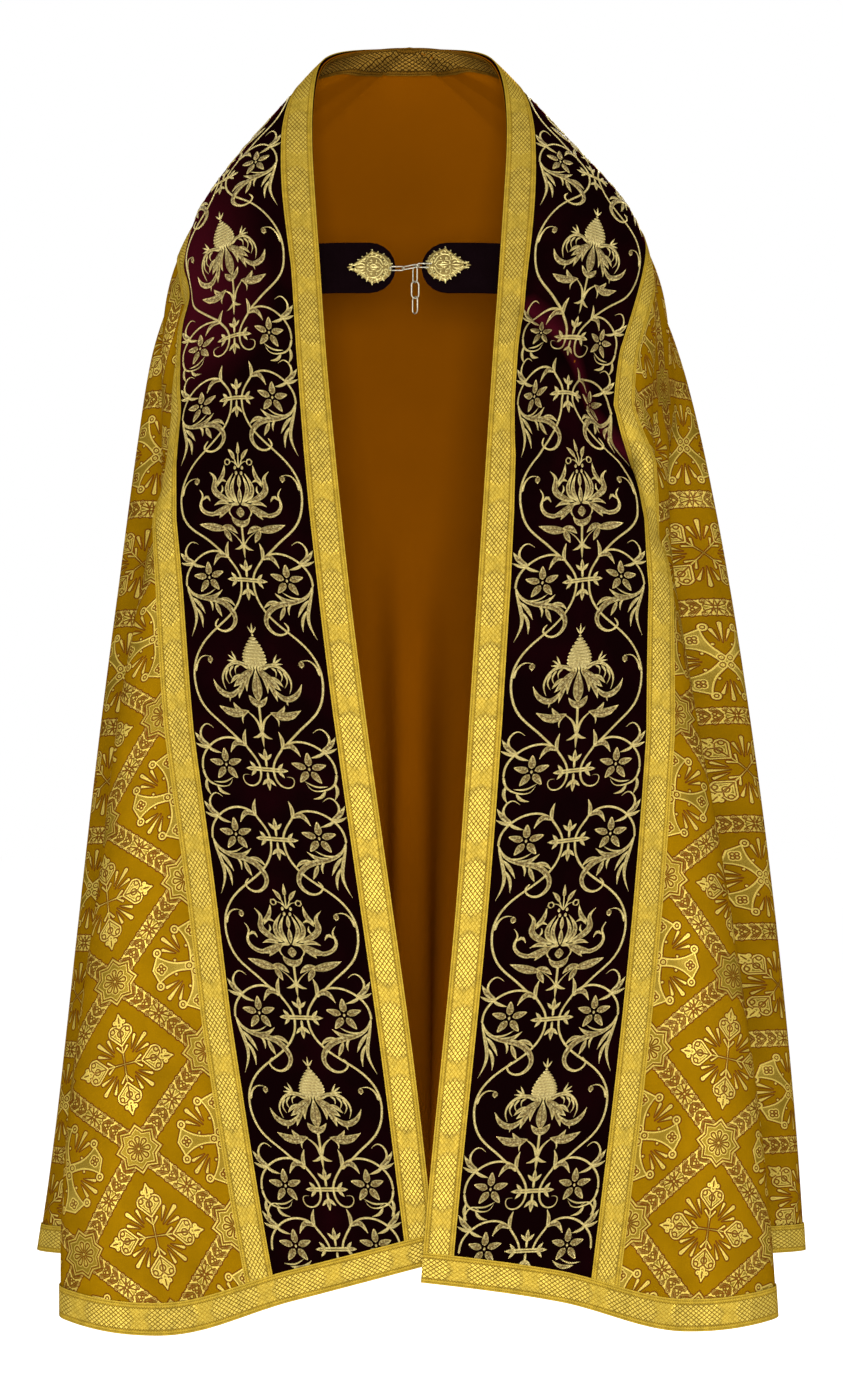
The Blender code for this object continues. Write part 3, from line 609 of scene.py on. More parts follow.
class Signal:
    """A shader socket that takes part in Python expressions, each adding its Math node."""

    def __init__(self, graph: "Graph", socket: bpy.types.NodeSocket) -> None:
        """Args: graph, that the socket's node is in; socket, an output."""
        self.graph = graph
        self.socket = socket

    def math(self, operation: str, *others: "Signal | float") -> "Signal":
        """The named Math operation on this value and others."""
        inputs = dict(enumerate((self, *others)))
        return self.graph.add("ShaderNodeMath", {"operation": operation}, inputs)

    def __add__(self, other: "Signal | float") -> "Signal":
        """Sum."""
        return self.math("ADD", other)

    __radd__ = __add__

    def __sub__(self, other: "Signal | float") -> "Signal":
        """Difference."""
        return self.math("SUBTRACT", other)

    def __rsub__(self, other: float) -> "Signal":
        """Difference from a number."""
        return (self * -1).math("ADD", other)

    def __mul__(self, other: "Signal | float") -> "Signal":
        """Product."""
        return self.math("MULTIPLY", other)

    __rmul__ = __mul__

    def __abs__(self) -> "Signal":
        """Size without sign."""
        return self.math("ABSOLUTE")

    def least(self, *others: "Signal | float") -> "Signal":
        """The smallest of this and others."""
        found = self
        for other in others:
            found = found.math("MINIMUM", other)
        return found

    def most(self, other: "Signal | float") -> "Signal":
        """The larger of this and another."""
        return self.math("MAXIMUM", other)

    def below(self, edge: "Signal | float", soft: float) -> "Signal":
        """1 where this is below edge and 0 above, over a soft width."""
        inside = edge - self if isinstance(edge, Signal) else self * -1 + edge
        return (inside * (1 / soft) + 0.5).clamped()

    def clamped(self) -> "Signal":
        """This value kept between 0 and 1."""
        self.socket.node.use_clamp = True
        return self

    def folded(self, period: float) -> "Signal":
        """Distance from the nearest whole number of periods."""
        return abs((self + period / 2).math("FLOORED_MODULO", period) - period / 2)


class Graph:
    """The nodes of one finish, which ends in a Principled shader."""

    def __init__(self, name: str) -> None:
        """Args: name, of the new material."""
        self.material = bpy.data.materials.new(name)
        self.material.use_nodes = True
        self.tree = self.material.node_tree
        self.shader = self.tree.nodes["Principled BSDF"]

    def add(self, kind: str, settings: dict, inputs: dict, output: int | str = 0) -> Signal:
        """Adds a node.

        Args:
            kind: the node's type.
            settings: its own settings, set first.
            inputs: values or signals for its sockets, by name or number.
            output: which output to read.

        Returns:
            The signal of that output.
        """
        node = self.tree.nodes.new(kind)
        for name, value in settings.items():
            setattr(node, name, value)
        for name, value in inputs.items():
            self.feed(node.inputs[name], value)
        return Signal(self, node.outputs[output])

    def feed(self, socket: bpy.types.NodeSocket, value: "Signal | float | tuple") -> None:
        """Links a signal to a socket, or sets its value.

        Args:
            socket: an input of a node.
            value: what it gets; a colour may leave out its alpha.
        """
        if isinstance(value, Signal):
            self.tree.links.new(value.socket, socket)
        elif isinstance(value, tuple) and socket.type == "RGBA":
            socket.default_value = (*value[:3], 1.0)
        else:
            socket.default_value = value

    def set(self, **values: "Signal | float | tuple") -> None:
        """Feeds the Principled shader; a socket's name has _ for each space."""
        for name, value in values.items():
            self.feed(self.shader.inputs[name.replace("_", " ")], value)

    def mark(self, name: str) -> Signal:
        """The vector that the piece keeps under a name."""
        return self.add("ShaderNodeAttribute", {"attribute_name": name}, {}, "Vector")

    def split(self, vector: Signal) -> list[Signal]:
        """The three numbers of a vector."""
        node = self.add("ShaderNodeSeparateXYZ", {}, {0: vector}).socket.node
        return [Signal(self, socket) for socket in node.outputs]

    def join(self, x: Signal | float, y: Signal | float, z: Signal | float = 0.0) -> Signal:
        """A vector of three numbers."""
        return self.add("ShaderNodeCombineXYZ", {}, {0: x, 1: y, 2: z})

    def mix(self, share: Signal | float, first: Signal | Colour, second: Signal | Colour) -> Signal:
        """Colour that goes from first to second with share."""
        return self.add("ShaderNodeMix", {"data_type": "RGBA"}, {0: share, 6: first, 7: second}, 2)

    def vector(self, operation: str, first: Signal | tuple, second: Signal | tuple,
               output: int | str = 0) -> Signal:
        """The named operation on two vectors, or for SCALE on a vector and a number."""
        inputs = {0: first, "Scale" if operation == "SCALE" else 1: second}
        return self.add("ShaderNodeVectorMath", {"operation": operation}, inputs, output)

    def shaded(self, colour: Signal | Colour, light: Signal) -> Signal:
        """Colour times a number."""
        return self.vector("SCALE", colour, light)

    def noise(self, vector: Signal, scale: float, detail: float = 2.0) -> Signal:
        """Soft noise, about 0.5 on average."""
        inputs = {"Vector": vector, "Scale": scale, "Detail": detail, "Roughness": 0.55}
        return self.add("ShaderNodeTexNoise", {}, inputs, "Fac")

    def relief(self, height: Signal, depth: float, strength: float = 1.0) -> None:
        """Bumps the surface by height times depth in metres."""
        bump = self.add("ShaderNodeBump", {}, {"Height": height, "Distance": depth, "Strength": strength})
        self.set(Normal=bump)

    def reach(self, spot: Signal, x: float, y: float) -> Signal:
        """Distance of spot from a point."""
        return self.vector("DISTANCE", spot, (x, y, 0.0), "Value")

    def blade(self, spot: Signal, start: tuple[float, float], end: tuple[float, float],
              first: float, last: float) -> Signal:
        """Signed distance of spot from a stroke.

        Args:
            spot: where.
            start: the stroke's first point.
            end: its last point.
            first: its half width at the start.
            last: its half width at the end.

        Returns:
            Metres, negative inside.
        """
        run = (end[0] - start[0], end[1] - start[1], 0.0)
        square = run[0] ** 2 + run[1] ** 2
        off = self.vector("SUBTRACT", spot, (*start, 0.0))
        along = (self.vector("DOT_PRODUCT", off, run, "Value") * (1 / square)).clamped()
        near = self.vector("SCALE", run, along)
        far = self.vector("DISTANCE", off, near, "Value")
        return far - (along * (last - first) + first)


class Repeat:
    """The brocade's figures, charted in one diamond of the repeat and folded over the cloth.

    Lengths are in metres. Each figure is a signed distance, negative inside.
    """

    SPACING = 0.191
    PHASE = 0.130
    STAR = 0.0205
    STAR_RIM = 0.0034
    BAND = 0.0104
    LEAF = 0.0116
    PETAL = ((0.0046, 0.0), (0.0108, 0.0), 0.0008, 0.0026)
    EYE = 0.0024
    BLOOM = 0.0112

    def __init__(self, graph: Graph, s: Signal, t: Signal) -> None:
        """Args: graph; s and t, the flat place."""
        self.graph = graph
        half = self.SPACING / math.sqrt(8)
        row = t - self.PHASE
        u, v = (s + row) * (1 / self.SPACING), (s - row) * (1 / self.SPACING)
        self.odd = (u.math("ROUND") + v.math("ROUND")).math("PINGPONG", 1.0)
        p = (u.folded(1.0)) * (self.SPACING / math.sqrt(2))
        q = (v.folded(1.0)) * (self.SPACING / math.sqrt(2))
        far, near = p.most(q), p.least(q)
        self.arm = graph.join((far + near) * math.sqrt(0.5), (far - near) * math.sqrt(0.5))
        self.spray_spot = graph.join(far, near)
        self.along = near
        self.across = self.corner_x = half - far
        self.corner_y = half - near
        self.corner = graph.join(self.corner_x, self.corner_y)

    def star(self) -> tuple[Signal, Signal]:
        """The eight-pointed star at the diamond's corners, and the lines in it.

        Returns:
            Signed distance to the shape, and distance to its lines.
        """
        square = self.corner_y - self.STAR
        turned = (self.corner_x + self.corner_y) * math.sqrt(0.5) - self.STAR
        shape = square.least(turned)
        g = self.graph
        far, near = self.corner_x.most(self.corner_y), self.corner_x.least(self.corner_y)
        slanted = g.join((far + near) * math.sqrt(0.5), (far - near) * math.sqrt(0.5))
        petals = [abs(g.blade(spot, *self.PETAL)) for spot in (g.join(far, near), slanted)]
        eye = abs(g.reach(self.corner, 0.0, 0.0) - self.EYE)
        lines = abs(shape + self.STAR_RIM).least(*petals, eye)
        return shape, lines

    def palmettes(self) -> tuple[Signal, Signal]:
        """Four palmettes on stems, and the lines in them.

        Returns:
            Signed distance to the shape, and distance to its lines.
        """
        g, spot = self.graph, self.arm
        body = g.blade(spot, (0.0225, 0.0), (0.0365, 0.0062), 0.0030, 0.0090)
        bud = g.blade(spot, (0.0440, 0.0), (0.0495, 0.0), 0.0040, 0.0052).least(
            g.reach(spot, 0.0480, 0.0052) - 0.0034,
            g.blade(spot, (0.0520, 0.0), (0.0570, 0.0), 0.0040, 0.0016),
        )
        shape = body.least(
            bud,
            g.blade(spot, (0.0, 0.0), (0.0190, 0.0), 0.0010, 0.0016),
            g.blade(spot, (0.0120, 0.0), (0.0200, 0.0060), 0.0012, 0.0021),
        )
        lines = abs(g.reach(spot, 0.0390, 0.0094) - 0.0028).least(
            abs(bud), abs(body + 0.0029), g.blade(spot, (0.0470, 0.0), (0.0530, 0.0), 0.0, 0.0),
            abs(g.reach(spot, 0.0345, 0.0) - 0.0034), g.blade(spot, (0.0270, 0.0), (0.0330, 0.0), 0.0, 0.0)
        )
        return shape, lines

    def cross(self) -> tuple[Signal, Signal]:
        """A cross with four flared arms and curled ends, and the lines in it.

        Returns:
            Signed distance to the shape, and distance to its lines.
        """
        g, spot = self.graph, self.arm
        a, b = g.split(spot)[:2]
        past = (a - 0.0150).most(0.0)
        side = b - (past * past * 14.5 + 0.0056)
        end = a - (0.0505 - b * 0.42)
        curl = g.reach(spot, 0.0420, 0.0188)
        shape = side.most(end).least(curl - 0.0056, g.reach(spot, 0.0225, 0.0078) - 0.0022)
        lines = abs(curl - 0.0022).least(
            abs(g.reach(spot, 0.0390, 0.0030) - 0.0020),
            abs(g.reach(spot, 0.0420, 0.0) - 0.0020),
            abs(g.reach(spot, 0.0360, 0.0) - 0.0020),
            abs(g.reach(spot, 0.0066, 0.0) - 0.0030),
        )
        return shape, lines

    def sprays(self) -> tuple[Signal, Signal]:
        """Three blades between the arms, and the thin lines beside them.

        Returns:
            Signed distance to the shape, and distance to the lines.
        """
        g, spot = self.graph, self.spray_spot
        start = g.join(g.split(spot)[0] - self.odd * 0.0070, g.split(spot)[1])
        shape = g.blade(start, (0.0165, 0.0), (0.0400, 0.0), 0.0005, 0.0031).least(
            g.blade(start, (0.0185, 0.0036), (0.0325, 0.0098), 0.0005, 0.0025)
        )
        lines = g.blade(start, (0.0210, 0.0028), (0.0330, 0.0056), 0.0, 0.0)
        return shape, lines

    def foliage(self) -> tuple[Signal, Signal]:
        """The leafy band between the diamonds, and the lines in it.

        Returns:
            Signed distance to the shape, and distance to its lines.
        """
        g = self.graph
        first = self.along.math("FLOORED_MODULO", self.LEAF)
        flower = g.reach(g.join(self.along, self.across), 0.0, 0.0)
        large, small = [], []
        for turn in (first, first + self.LEAF):
            spot = g.join(turn, self.across)
            large.append(g.blade(spot, (0.0030, 0.0012), (0.0110, 0.0082), 0.0008, 0.0028))
            small.append(abs(g.reach(spot, 0.0098, 0.0022) - 0.0017))
        leaf, berry = large[0].least(large[1]), small[0].least(small[1])
        shape = (self.across - self.BAND).least(leaf - 0.0004).most(self.along - 0.0520)
        lines = abs(leaf).least(abs(leaf + 0.0016), berry)
        leaves = [
            g.blade(g.join(self.along, self.across), (0.0026, 0.0022), end, 0.0008, 0.0026)
            for end in ((0.0086, 0.0060), (0.0030, 0.0088))
        ]
        bloom = abs(leaves[0]).least(abs(leaves[1]), abs(flower - 0.0020))
        in_bloom = flower.below(self.BLOOM, 0.0004)
        return shape, lines * (1 - in_bloom) + bloom * in_bloom


@dataclass(frozen=True)
class BrocadeFinish:
    """Orange-gold satin with pale lurex figures, outlined in thin red-brown."""

    ground: Colour = hue(104, 74, 2)
    lurex: Colour = hue(98, 78, 20)
    bright: Colour = hue(160, 138, 62)
    outline: Colour = hue(76, 28, 6)
    line: float = 0.00056
    soft: float = 0.0004

    def make(self) -> bpy.types.Material:
        """The material, read from the flat place of each point.

        Returns:
            A new material, for pieces that keep their flat place as "flat".
        """
        g = Graph("brocade")
        place = g.mark("flat")
        s, t, _ = g.split(place)
        repeat = Repeat(g, s, t)
        star, star_lines = repeat.star()
        palm, palm_lines = repeat.palmettes()
        cross, cross_lines = repeat.cross()
        spray, spray_lines = repeat.sprays()
        band, band_lines = repeat.foliage()
        odd, even = repeat.odd, 1 - repeat.odd
        arms = palm * even + cross * odd
        arm_lines = palm_lines * even + cross_lines * odd
        figure = arms.least(spray, star, band)
        in_star = star.below(0.0, self.soft)
        in_band = band.below(0.0, self.soft) * (1 - in_star)
        in_arms = arms.below(0.0, self.soft)
        inner = star_lines * in_star + band_lines * in_band + (1 - in_star - in_band) * 0.01
        inner = inner.least(arm_lines + (1 - in_arms) * 0.01)
        inside = figure.below(0.0, self.soft)
        edge = arms.least(spray, star)
        edge = abs(edge).least(abs(band) + in_star * 0.01)
        drawn = edge.below(self.line, self.soft).most(
            inner.below(self.line * 0.85, self.soft) * inside
        )
        drawn = drawn.most(spray_lines.below(0.0004, self.soft) * (1 - inside))
        lit = abs(figure + 0.0019).below(0.0009, self.soft).most(
            abs(inner - 0.0016).below(0.0006, self.soft) * inside
        )
        thread = g.noise(place, 900.0, 2.0)
        patch = g.noise(place, 26.0, 3.0)
        glitter = (g.noise(place, 11.0, 4.0) - 0.5) * 1.7
        lurex = g.mix(lit * 0.9 + (thread - 0.5) * 1.1 + glitter - in_star * 0.3, self.lurex, self.bright)
        colour = g.mix(inside, self.ground, lurex)
        colour = g.mix(drawn * 0.85, colour, self.outline)
        colour = g.shaded(colour, patch * 0.50 + 0.73)
        g.set(Base_Color=colour, Roughness=inside * -0.10 + 0.50, Metallic=inside * 0.30 + 0.20)
        g.set(Specular_IOR_Level=0.0, Specular_Tint=hue(206, 160, 60))
        height = inside * 0.5 + lit * 0.35 - drawn * 0.35 + thread * 0.35
        g.relief(height, 0.0006, 0.8)
        return g.material


@dataclass(frozen=True)
class VelvetFinish:
    """Almost black velvet whose pile shows burgundy where it turns away, with painted burgundy sheen along
    the wearer's right shoulder and the buckle of the left band.
    """

    pile: Colour = hue(4, 1, 1)
    nap: Colour = hue(30, 1, 7)
    crushed: Colour = hue(44, 5, 12)

    def make(self) -> bpy.types.Material:
        """The material.

        Returns:
            A new material, for pieces that keep their flat place as "flat".
        """
        g = Graph("velvet")
        place = g.mark("flat")
        brushed = g.noise(place, 14.0, 3.0)
        fine = g.noise(place, 1300.0, 1.0)
        light = ((brushed - 0.45) * 1.5).clamped()
        # Painted sheen: masks along the wearer's right shoulder and the left band's buckle, where the pile
        # takes the burgundy sheen colour.
        shoulder = g.blade(place, (-0.13, 0.190), (-0.47, 0.170), 0.030, 0.036).below(0.020, 0.120)
        buckle = g.blade(place, (0.478, 0.042), (0.533, 0.115), 0.0, 0.0).least(
            g.blade(place, (0.533, 0.115), (0.640, 0.187), 0.0, 0.0)
        ).below(0.009, 0.016)
        pile = g.mix(light * 0.35 + fine * 0.10, self.pile, self.nap)
        pile = g.mix(shoulder.most(buckle) * (brushed * 0.5 + 0.6), pile, self.crushed)
        g.set(Base_Color=pile, Roughness=0.95)
        g.set(Sheen_Weight=0.17, Sheen_Roughness=0.20, Sheen_Tint=hue(150, 4, 40), Specular_IOR_Level=0.0)
        g.relief(fine, 0.0005, 0.5)
        return g.material


@dataclass(frozen=True)
class BraidFinish:
    """Woven gold galloon: bright diamonds in long zones, plain ones between, and worked edges.

    Its mark is (length along, place across from one edge, 0) in metres.
    """

    name: str
    # light scales the colour; below 1 it is painted shade.
    light: float = 1.0
    gold: Colour = hue(120, 97, 20)
    speckle: Colour = hue(152, 129, 47)
    diamond: Colour = hue(172, 152, 80)
    gap: Colour = hue(104, 76, 12)
    edge: Colour = hue(130, 105, 27)
    worked_edge: float = 0.0058
    diamond_long: float = 0.0066
    diamond_wide: float = 0.0047
    repeat: float = 0.082
    zone: float = 0.066

    def make(self) -> bpy.types.Material:
        """The material.

        Returns:
            A new material, for pieces that keep the mark "braid".
        """
        g = Graph(self.name)
        mark = g.mark("braid")
        a, c, _ = g.split(mark)
        off = c - BRAID_WIDTH / 2
        middle = abs(off)
        in_edge = 1 - middle.below(BRAID_WIDTH / 2 - self.worked_edge, 0.0004)
        along, across = a * (1 / self.diamond_long), off * (1 / self.diamond_wide)
        cell = (along + across).folded(1.0).least((along - across).folded(1.0))
        net = cell.below(0.085, 0.09)
        zone = a.folded(self.repeat).below(middle * -0.55 + self.zone / 2, 0.005)
        scallops = abs(g.reach(g.join(a.folded(0.0072), middle), 0.0, 0.0105) - 0.0036)
        faint = scallops.least(abs(middle - 0.0030)).below(0.0005, 0.0006)
        teeth = abs(a.folded(0.0034) * 0.9 + (BRAID_WIDTH / 2 - self.worked_edge - 0.0004) - middle)
        stitches = abs(middle - (BRAID_WIDTH / 2 - 0.0021)).below(0.0005, 0.0004)
        stitches = stitches * a.folded(0.0022).below(0.0007, 0.0004)
        border = teeth.below(0.00055, 0.0005).most(stitches)
        grain = g.noise(mark, 1100.0, 2.0)
        patch = g.noise(mark, 90.0, 4.0)
        plain = g.mix((grain - 0.42) * 3.0, self.gold, self.speckle)
        bright = g.mix(net, g.mix((grain - 0.40) * 2.0, self.speckle, self.diamond), self.gap)
        plain = g.mix(faint * 0.5, plain, self.speckle)
        colour = g.mix(zone, g.mix(0.46, plain, bright), bright)
        colour = g.mix(in_edge, colour, g.mix((grain - 0.38) * 2.6, self.edge, self.speckle))
        colour = g.mix(border * 0.65, colour, self.gap)
        colour = g.shaded(colour, (patch * 0.90 + 0.49) * self.light)
        lustre = (zone * 0.5 + 0.5) * (1 - net) * (1 - in_edge)
        g.set(Base_Color=colour, Roughness=lustre * -0.12 + 0.48, Metallic=lustre * 0.12 + 0.22)
        g.set(Specular_IOR_Level=0.0, Specular_Tint=hue(216, 176, 76))
        g.relief((1 - net) * zone * (1 - in_edge) + in_edge * 0.7 - border * 0.6 + grain * 0.3, 0.0009, 0.9)
        return g.material


@dataclass(frozen=True)
class LiningFinish:
    """Plain golden-brown lining satin, with painted light: brighter with distance from the nape, against the
    shade inside the cloak.
    """

    cloth: Colour = hue(118, 64, 1)
    shade: Colour = hue(106, 57, 1)

    def make(self) -> bpy.types.Material:
        """The material.

        Returns:
            A new material, for pieces that keep their flat place as "flat".
        """
        g = Graph("lining")
        place = g.mark("flat")
        streak = g.noise(place, 9.0, 3.0)
        weave = g.noise(place, 1700.0, 1.0)
        # Painted light: the colour grows brighter with distance from the nape, making up for the shade inside
        # the cloak.
        down = g.reach(place, 0.0, 0.0)
        cloth = g.mix(streak * 0.8 + weave * 0.2, self.cloth, self.shade)
        g.set(Base_Color=g.shaded(cloth, down * 0.50 + 0.68), Roughness=0.9, Specular_IOR_Level=0.0)
        g.relief(weave, 0.0003, 0.4)
        return g.material


@dataclass(frozen=True)
class StitchFinish:
    """Satin stitch in pale metal thread. Its mark is (length along, place across, half width) in metres."""

    name: str
    thread: Colour = hue(116, 93, 42)
    glint: Colour = hue(208, 193, 130)
    rim: Colour = hue(174, 155, 94)
    groove: Colour = hue(56, 38, 14)
    pitch: float = 0.0012
    rim_width: float = 0.0011

    def make(self) -> bpy.types.Material:
        """The material.

        Returns:
            A new material, for pieces that keep the mark "stitch".
        """
        g = Graph(self.name)
        mark = g.mark("stitch")
        a, c, half = g.split(mark)
        slant = a + abs(c) * 0.8
        row = slant.folded(self.pitch) * (2 / self.pitch)
        glitter = g.noise(mark, 430.0, 3.0)
        light = ((glitter - 0.44) * 4.2).clamped()
        wide = 1 - half.below(0.0021, 0.0010)
        inner = (half - abs(c)).below(self.rim_width, 0.0006)
        fill = g.mix(light * 0.9, self.thread, self.glint)
        edge = g.mix(light * 0.8, self.rim, self.glint)
        colour = g.mix(wide * (1 - inner), edge, g.shaded(fill, glitter * 0.2 + 0.72))
        # Painted shade: the dark groove colour goes between the thread rows and along the strokes' edges, and
        # marks the split down wide strokes.
        groove = row.below(0.22, 0.25) * 0.45
        vein = abs(c).below(0.00042, 0.0004) * wide * 0.75
        verge_shade = (half - abs(c)).below(0.00016, 0.00022) * wide * 0.8
        colour = g.mix(groove.most(vein).most(verge_shade), colour, self.groove)
        g.set(Base_Color=colour, Roughness=glitter * 0.25 + 0.24, Metallic=0.55, Specular_IOR_Level=0.35)
        g.relief(row - vein * 1.5, 0.0005, 0.9)
        return g.material


@dataclass(frozen=True)
class MetalFinish:
    """Plated metal with worn high places and darker hollows."""

    name: str
    metal: Colour
    hollow: Colour
    roughness: float

    def make(self) -> bpy.types.Material:
        """The material.

        Returns:
            A new material.
        """
        g = Graph(self.name)
        place = g.add("ShaderNodeTexCoord", {}, {}, "Object")
        tarnish = g.noise(place, 220.0, 4.0)
        scratch = g.noise(place, 1800.0, 2.0)
        share = ((tarnish - 0.48) * 4.0).clamped()
        g.set(Base_Color=g.mix(share * 0.55, self.metal, self.hollow))
        g.set(Metallic=1.0, Roughness=tarnish * 0.3 + self.roughness - 0.15)
        g.relief(tarnish * 0.7 + scratch * 0.3, 0.0004, 0.5)
        return g.material


@dataclass(frozen=True)
class StrapFinish:
    """Dark short-napped cloth of the clasp's tabs."""

    cloth: Colour = hue(3, 1, 1)
    nap: Colour = hue(14, 6, 9)

    def make(self) -> bpy.types.Material:
        """The material.

        Returns:
            A new material.
        """
        g = Graph("strap_cloth")
        place = g.add("ShaderNodeTexCoord", {}, {}, "Object")
        fibre = g.noise(place, 900.0, 3.0)
        brushed = g.noise(place, 40.0, 2.0)
        g.set(Base_Color=g.mix(fibre * 0.35 + brushed * 0.35, self.cloth, self.nap), Roughness=0.95)
        g.set(Sheen_Weight=0.04, Sheen_Roughness=0.25, Sheen_Tint=hue(110, 40, 130), Specular_IOR_Level=0.0)
        g.relief(fibre, 0.0006, 0.6)
        return g.material


class Cut(Enum):
    """How the width of an embroidered stroke runs from its start (0) to its end (1)."""

    STEM = "even, with rounded ends"
    LEAF = "pointed at both ends"
    PETAL = "narrow at its start, full near its end"
    HORN = "full at its start, drawn out to a point"
    HOOK = "thin at its start, full in its middle, thin and round at its end"

    def width(self, share: Points, stub: float) -> Points:
        """Share of the full width at each share of the length.

        Args:
            share: shares of the length.
            stub: a round end's share of the length.

        Returns:
            Shares of the full width.
        """
        ends = np.sqrt(np.clip(np.minimum(share, 1 - share) / max(stub, LEAST), 0, 1))
        if self is Cut.LEAF:
            return np.sin(math.pi * share**0.85) ** 0.85
        if self is Cut.PETAL:
            return np.sin(math.pi * share**1.45) ** 0.75
        if self is Cut.HORN:
            return np.sqrt(np.clip(share / max(stub, LEAST), 0, 1)) * (1 - share) ** 0.6
        if self is Cut.HOOK:
            return ends * (0.34 + 0.66 * np.sin(math.pi * np.clip(share * 1.12, 0, 1)) ** 1.5)
        return ends


@dataclass(frozen=True)
class Stroke:
    """One stroke of satin stitch, in millimetres: x out from the motif's axis, y down it."""

    cut: Cut
    width: float
    line: tuple[tuple[float, float], ...]

    def mirrored(self) -> "Stroke":
        """The stroke on the other side of the axis."""
        return Stroke(self.cut, self.width, tuple((-x, y) for x, y in self.line))

    def moved(self, x: float, y: float, stretch: float = 1.0) -> "Stroke":
        """The stroke stretched along the axis and then moved."""
        return Stroke(self.cut, self.width, tuple((px + x, py * stretch + y) for px, py in self.line))


def both(strokes: Iterable[Stroke]) -> list[Stroke]:
    """The strokes and their mirror images."""
    kept = list(strokes)
    return kept + [stroke.mirrored() for stroke in kept]


def stem(width: float, *line: tuple[float, float]) -> Stroke:
    """An even stroke."""
    return Stroke(Cut.STEM, width, line)


def leaf(width: float, *line: tuple[float, float]) -> Stroke:
    """A leaf-shaped stroke."""
    return Stroke(Cut.LEAF, width, line)


def horn(width: float, *line: tuple[float, float]) -> Stroke:
    """A stroke that is drawn out to a point."""
    return Stroke(Cut.HORN, width, line)


def hook(width: float, *line: tuple[float, float]) -> Stroke:
    """A stroke that swells in its middle."""
    return Stroke(Cut.HOOK, width, line)


def petal(width: float, *line: tuple[float, float]) -> Stroke:
    """A petal-shaped stroke."""
    return Stroke(Cut.PETAL, width, line)


def dot(radius: float, x: float, y: float) -> Stroke:
    """A round knot."""
    return stem(2 * radius, (x, y - radius), (x, y + radius))


